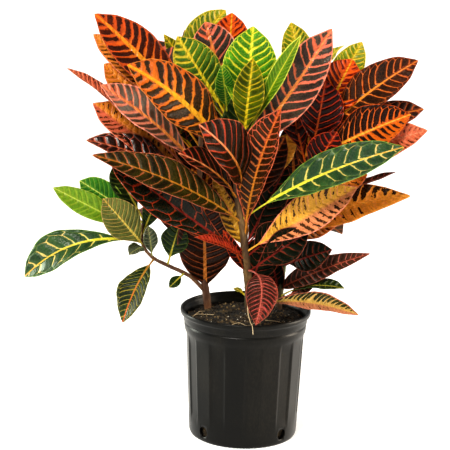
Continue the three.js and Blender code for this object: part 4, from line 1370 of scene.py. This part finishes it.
roots = bmesh.new()
for route in ROOT_ROUTES:
    laid = [(x, y, soil_height(x, y) + ROOT_LIFTS[i % 2]) for i, (x, y) in enumerate(route)]
    thread(roots, laid, Y, Z, ROOT_RADII, sides=5, rows=24)
thread(roots, FIBRE_ROUTE, X, Z, FIBRE_RADII, sides=6, rows=40)
rootlets = finish(roots, "rootlets", [ROOT], "soil")
print("faces of the rootlets:", len(rootlets.data.polygons))

# %% [markdown]
# ## Stage
# The floor is plain and pale, and so wide that its edge is never seen. It glows a little, so that it
# stays as bright as the backdrop and the plant seems to stand free.

# %% Floor
FLOOR_SIZE = 40  # metres from the middle to each side
FLOOR_GLOW = 0.3

floor_grid = bmesh.new()
bmesh.ops.create_grid(floor_grid, x_segments=1, y_segments=1, size=FLOOR_SIZE)
floor = add_object("floor", mesh_of(floor_grid, "floor"))
FLOOR_PAINT = bpy.data.materials.new("pale_floor")
FLOOR_PAINT.use_nodes = True
floor_shader = FLOOR_PAINT.node_tree.nodes["Principled BSDF"]
floor_shader.inputs["Base Color"].default_value = (0.8, 0.8, 0.8, 1)
floor_shader.inputs["Roughness"].default_value = 0.9
floor_shader.inputs["Emission Color"].default_value = (1, 1, 1, 1)
floor_shader.inputs["Emission Strength"].default_value = FLOOR_GLOW
floor.data.materials.append(FLOOR_PAINT)
print("floor in metres:", tuple(floor.dimensions))

# %% [markdown]
# ## Camera
# The camera stands two and a half metres in front of the pot, higher than the top leaves, and looks
# down a little. A long lens keeps the pot's sides nearly upright. The small yaw and roll were fitted
# to the pot's lip and foot.

# %% The camera's place and turn
LENS, SENSOR = 116.96, 36  # millimetres
CAMERA_PLACE = (0, -2.535, 0.944)  # metres
CAMERA_PITCH, CAMERA_YAW, CAMERA_ROLL = 0.2175, 0.01602, 0.02357  # radians

camera = add_object("camera", bpy.data.cameras.new("camera"))
camera.data.lens = LENS
camera.data.sensor_width = SENSOR
camera.matrix_world = (
    Matrix.Translation(CAMERA_PLACE)
    @ Matrix.Rotation(CAMERA_YAW, 4, "Z")
    @ Matrix.Rotation(math.pi / 2 - CAMERA_PITCH, 4, "X")
    @ Matrix.Rotation(CAMERA_ROLL, 4, "Z")
)
bpy.context.scene.camera = camera
print("camera looks down by", round(math.degrees(CAMERA_PITCH), 1), "degrees")

# %% [markdown]
# ## Light
# Waxy leaves and black plastic show their shape by what they mirror. Two tall soft lights, a
# faintly green one at the left and a warm one at the right, draw a bright edge down each side of
# the pot. A broad sun from the front left, about half way up, lights the leaves, and a pale sky
# fills the shadows. The sky is brightest low down, where it is the backdrop.

# %% Two soft lights
AIM = (0, 0, 0.25)  # metres: just over the pot's rim


def soft_light(name, place, size, power, colour):
    """A tall rectangle of light that faces the pot. Place and size are in metres, power in watts."""
    light = add_object(name, bpy.data.lights.new(name, "AREA"))
    light.data.shape = "RECTANGLE"
    light.data.energy = power
    light.data.color = colour
    light.data.size, light.data.size_y = size
    aim = Vector(AIM) - Vector(place)
    light.matrix_world = Matrix.Translation(place) @ aim.to_track_quat("-Z", "Y").to_matrix().to_4x4()


soft_light("left_strip", (-1.6, 0.5, 0.5), (0.5, 1.4), 32, (0.97, 1, 0.88))
soft_light("right_strip", (1.6, 0.1, 0.5), (0.6, 1.4), 46, (1, 0.88, 0.72))

# %% Sun
SUN_POWER = 3.2
SUN_ANGLE = 18  # degrees: how soft its shadows are
SUN_TURN, SUN_TILT = -25, 48  # degrees to the left, and from straight above

sun = add_object("key", bpy.data.lights.new("key", "SUN"))
sun.data.energy = SUN_POWER
sun.data.angle = math.radians(SUN_ANGLE)
sun.data.color = (1, 0.95, 0.86)
sun_turn = Matrix.Rotation(math.radians(SUN_TURN), 4, "Z")
sun.matrix_world = sun_turn @ Matrix.Rotation(math.radians(SUN_TILT), 4, "X")

# %% Sky
SKY_LEVELS = (1.0, 0.46)  # at the horizon and above
SKY_FADE = (0.08, 0.25)  # heights on the sky between which it changes

world = bpy.data.worlds.new("studio")
world.use_nodes = True
background = world.node_tree.nodes["Background"]
background.inputs["Color"].default_value = (1, 1, 1, 1)
sky = Nodes(world.node_tree)
height = sky.add("ShaderNodeSeparateXYZ")
sky.feed(height.inputs[0], sky.add("ShaderNodeTexCoord").outputs["Generated"])
sky.feed(background.inputs["Strength"], sky.ramp(height.outputs[2], *SKY_FADE, *SKY_LEVELS))
bpy.context.scene.world = world
bpy.context.scene.view_settings.view_transform = "Standard"
bpy.context.scene.view_settings.look = "Medium High Contrast"
print("sky nodes:", sky.count)
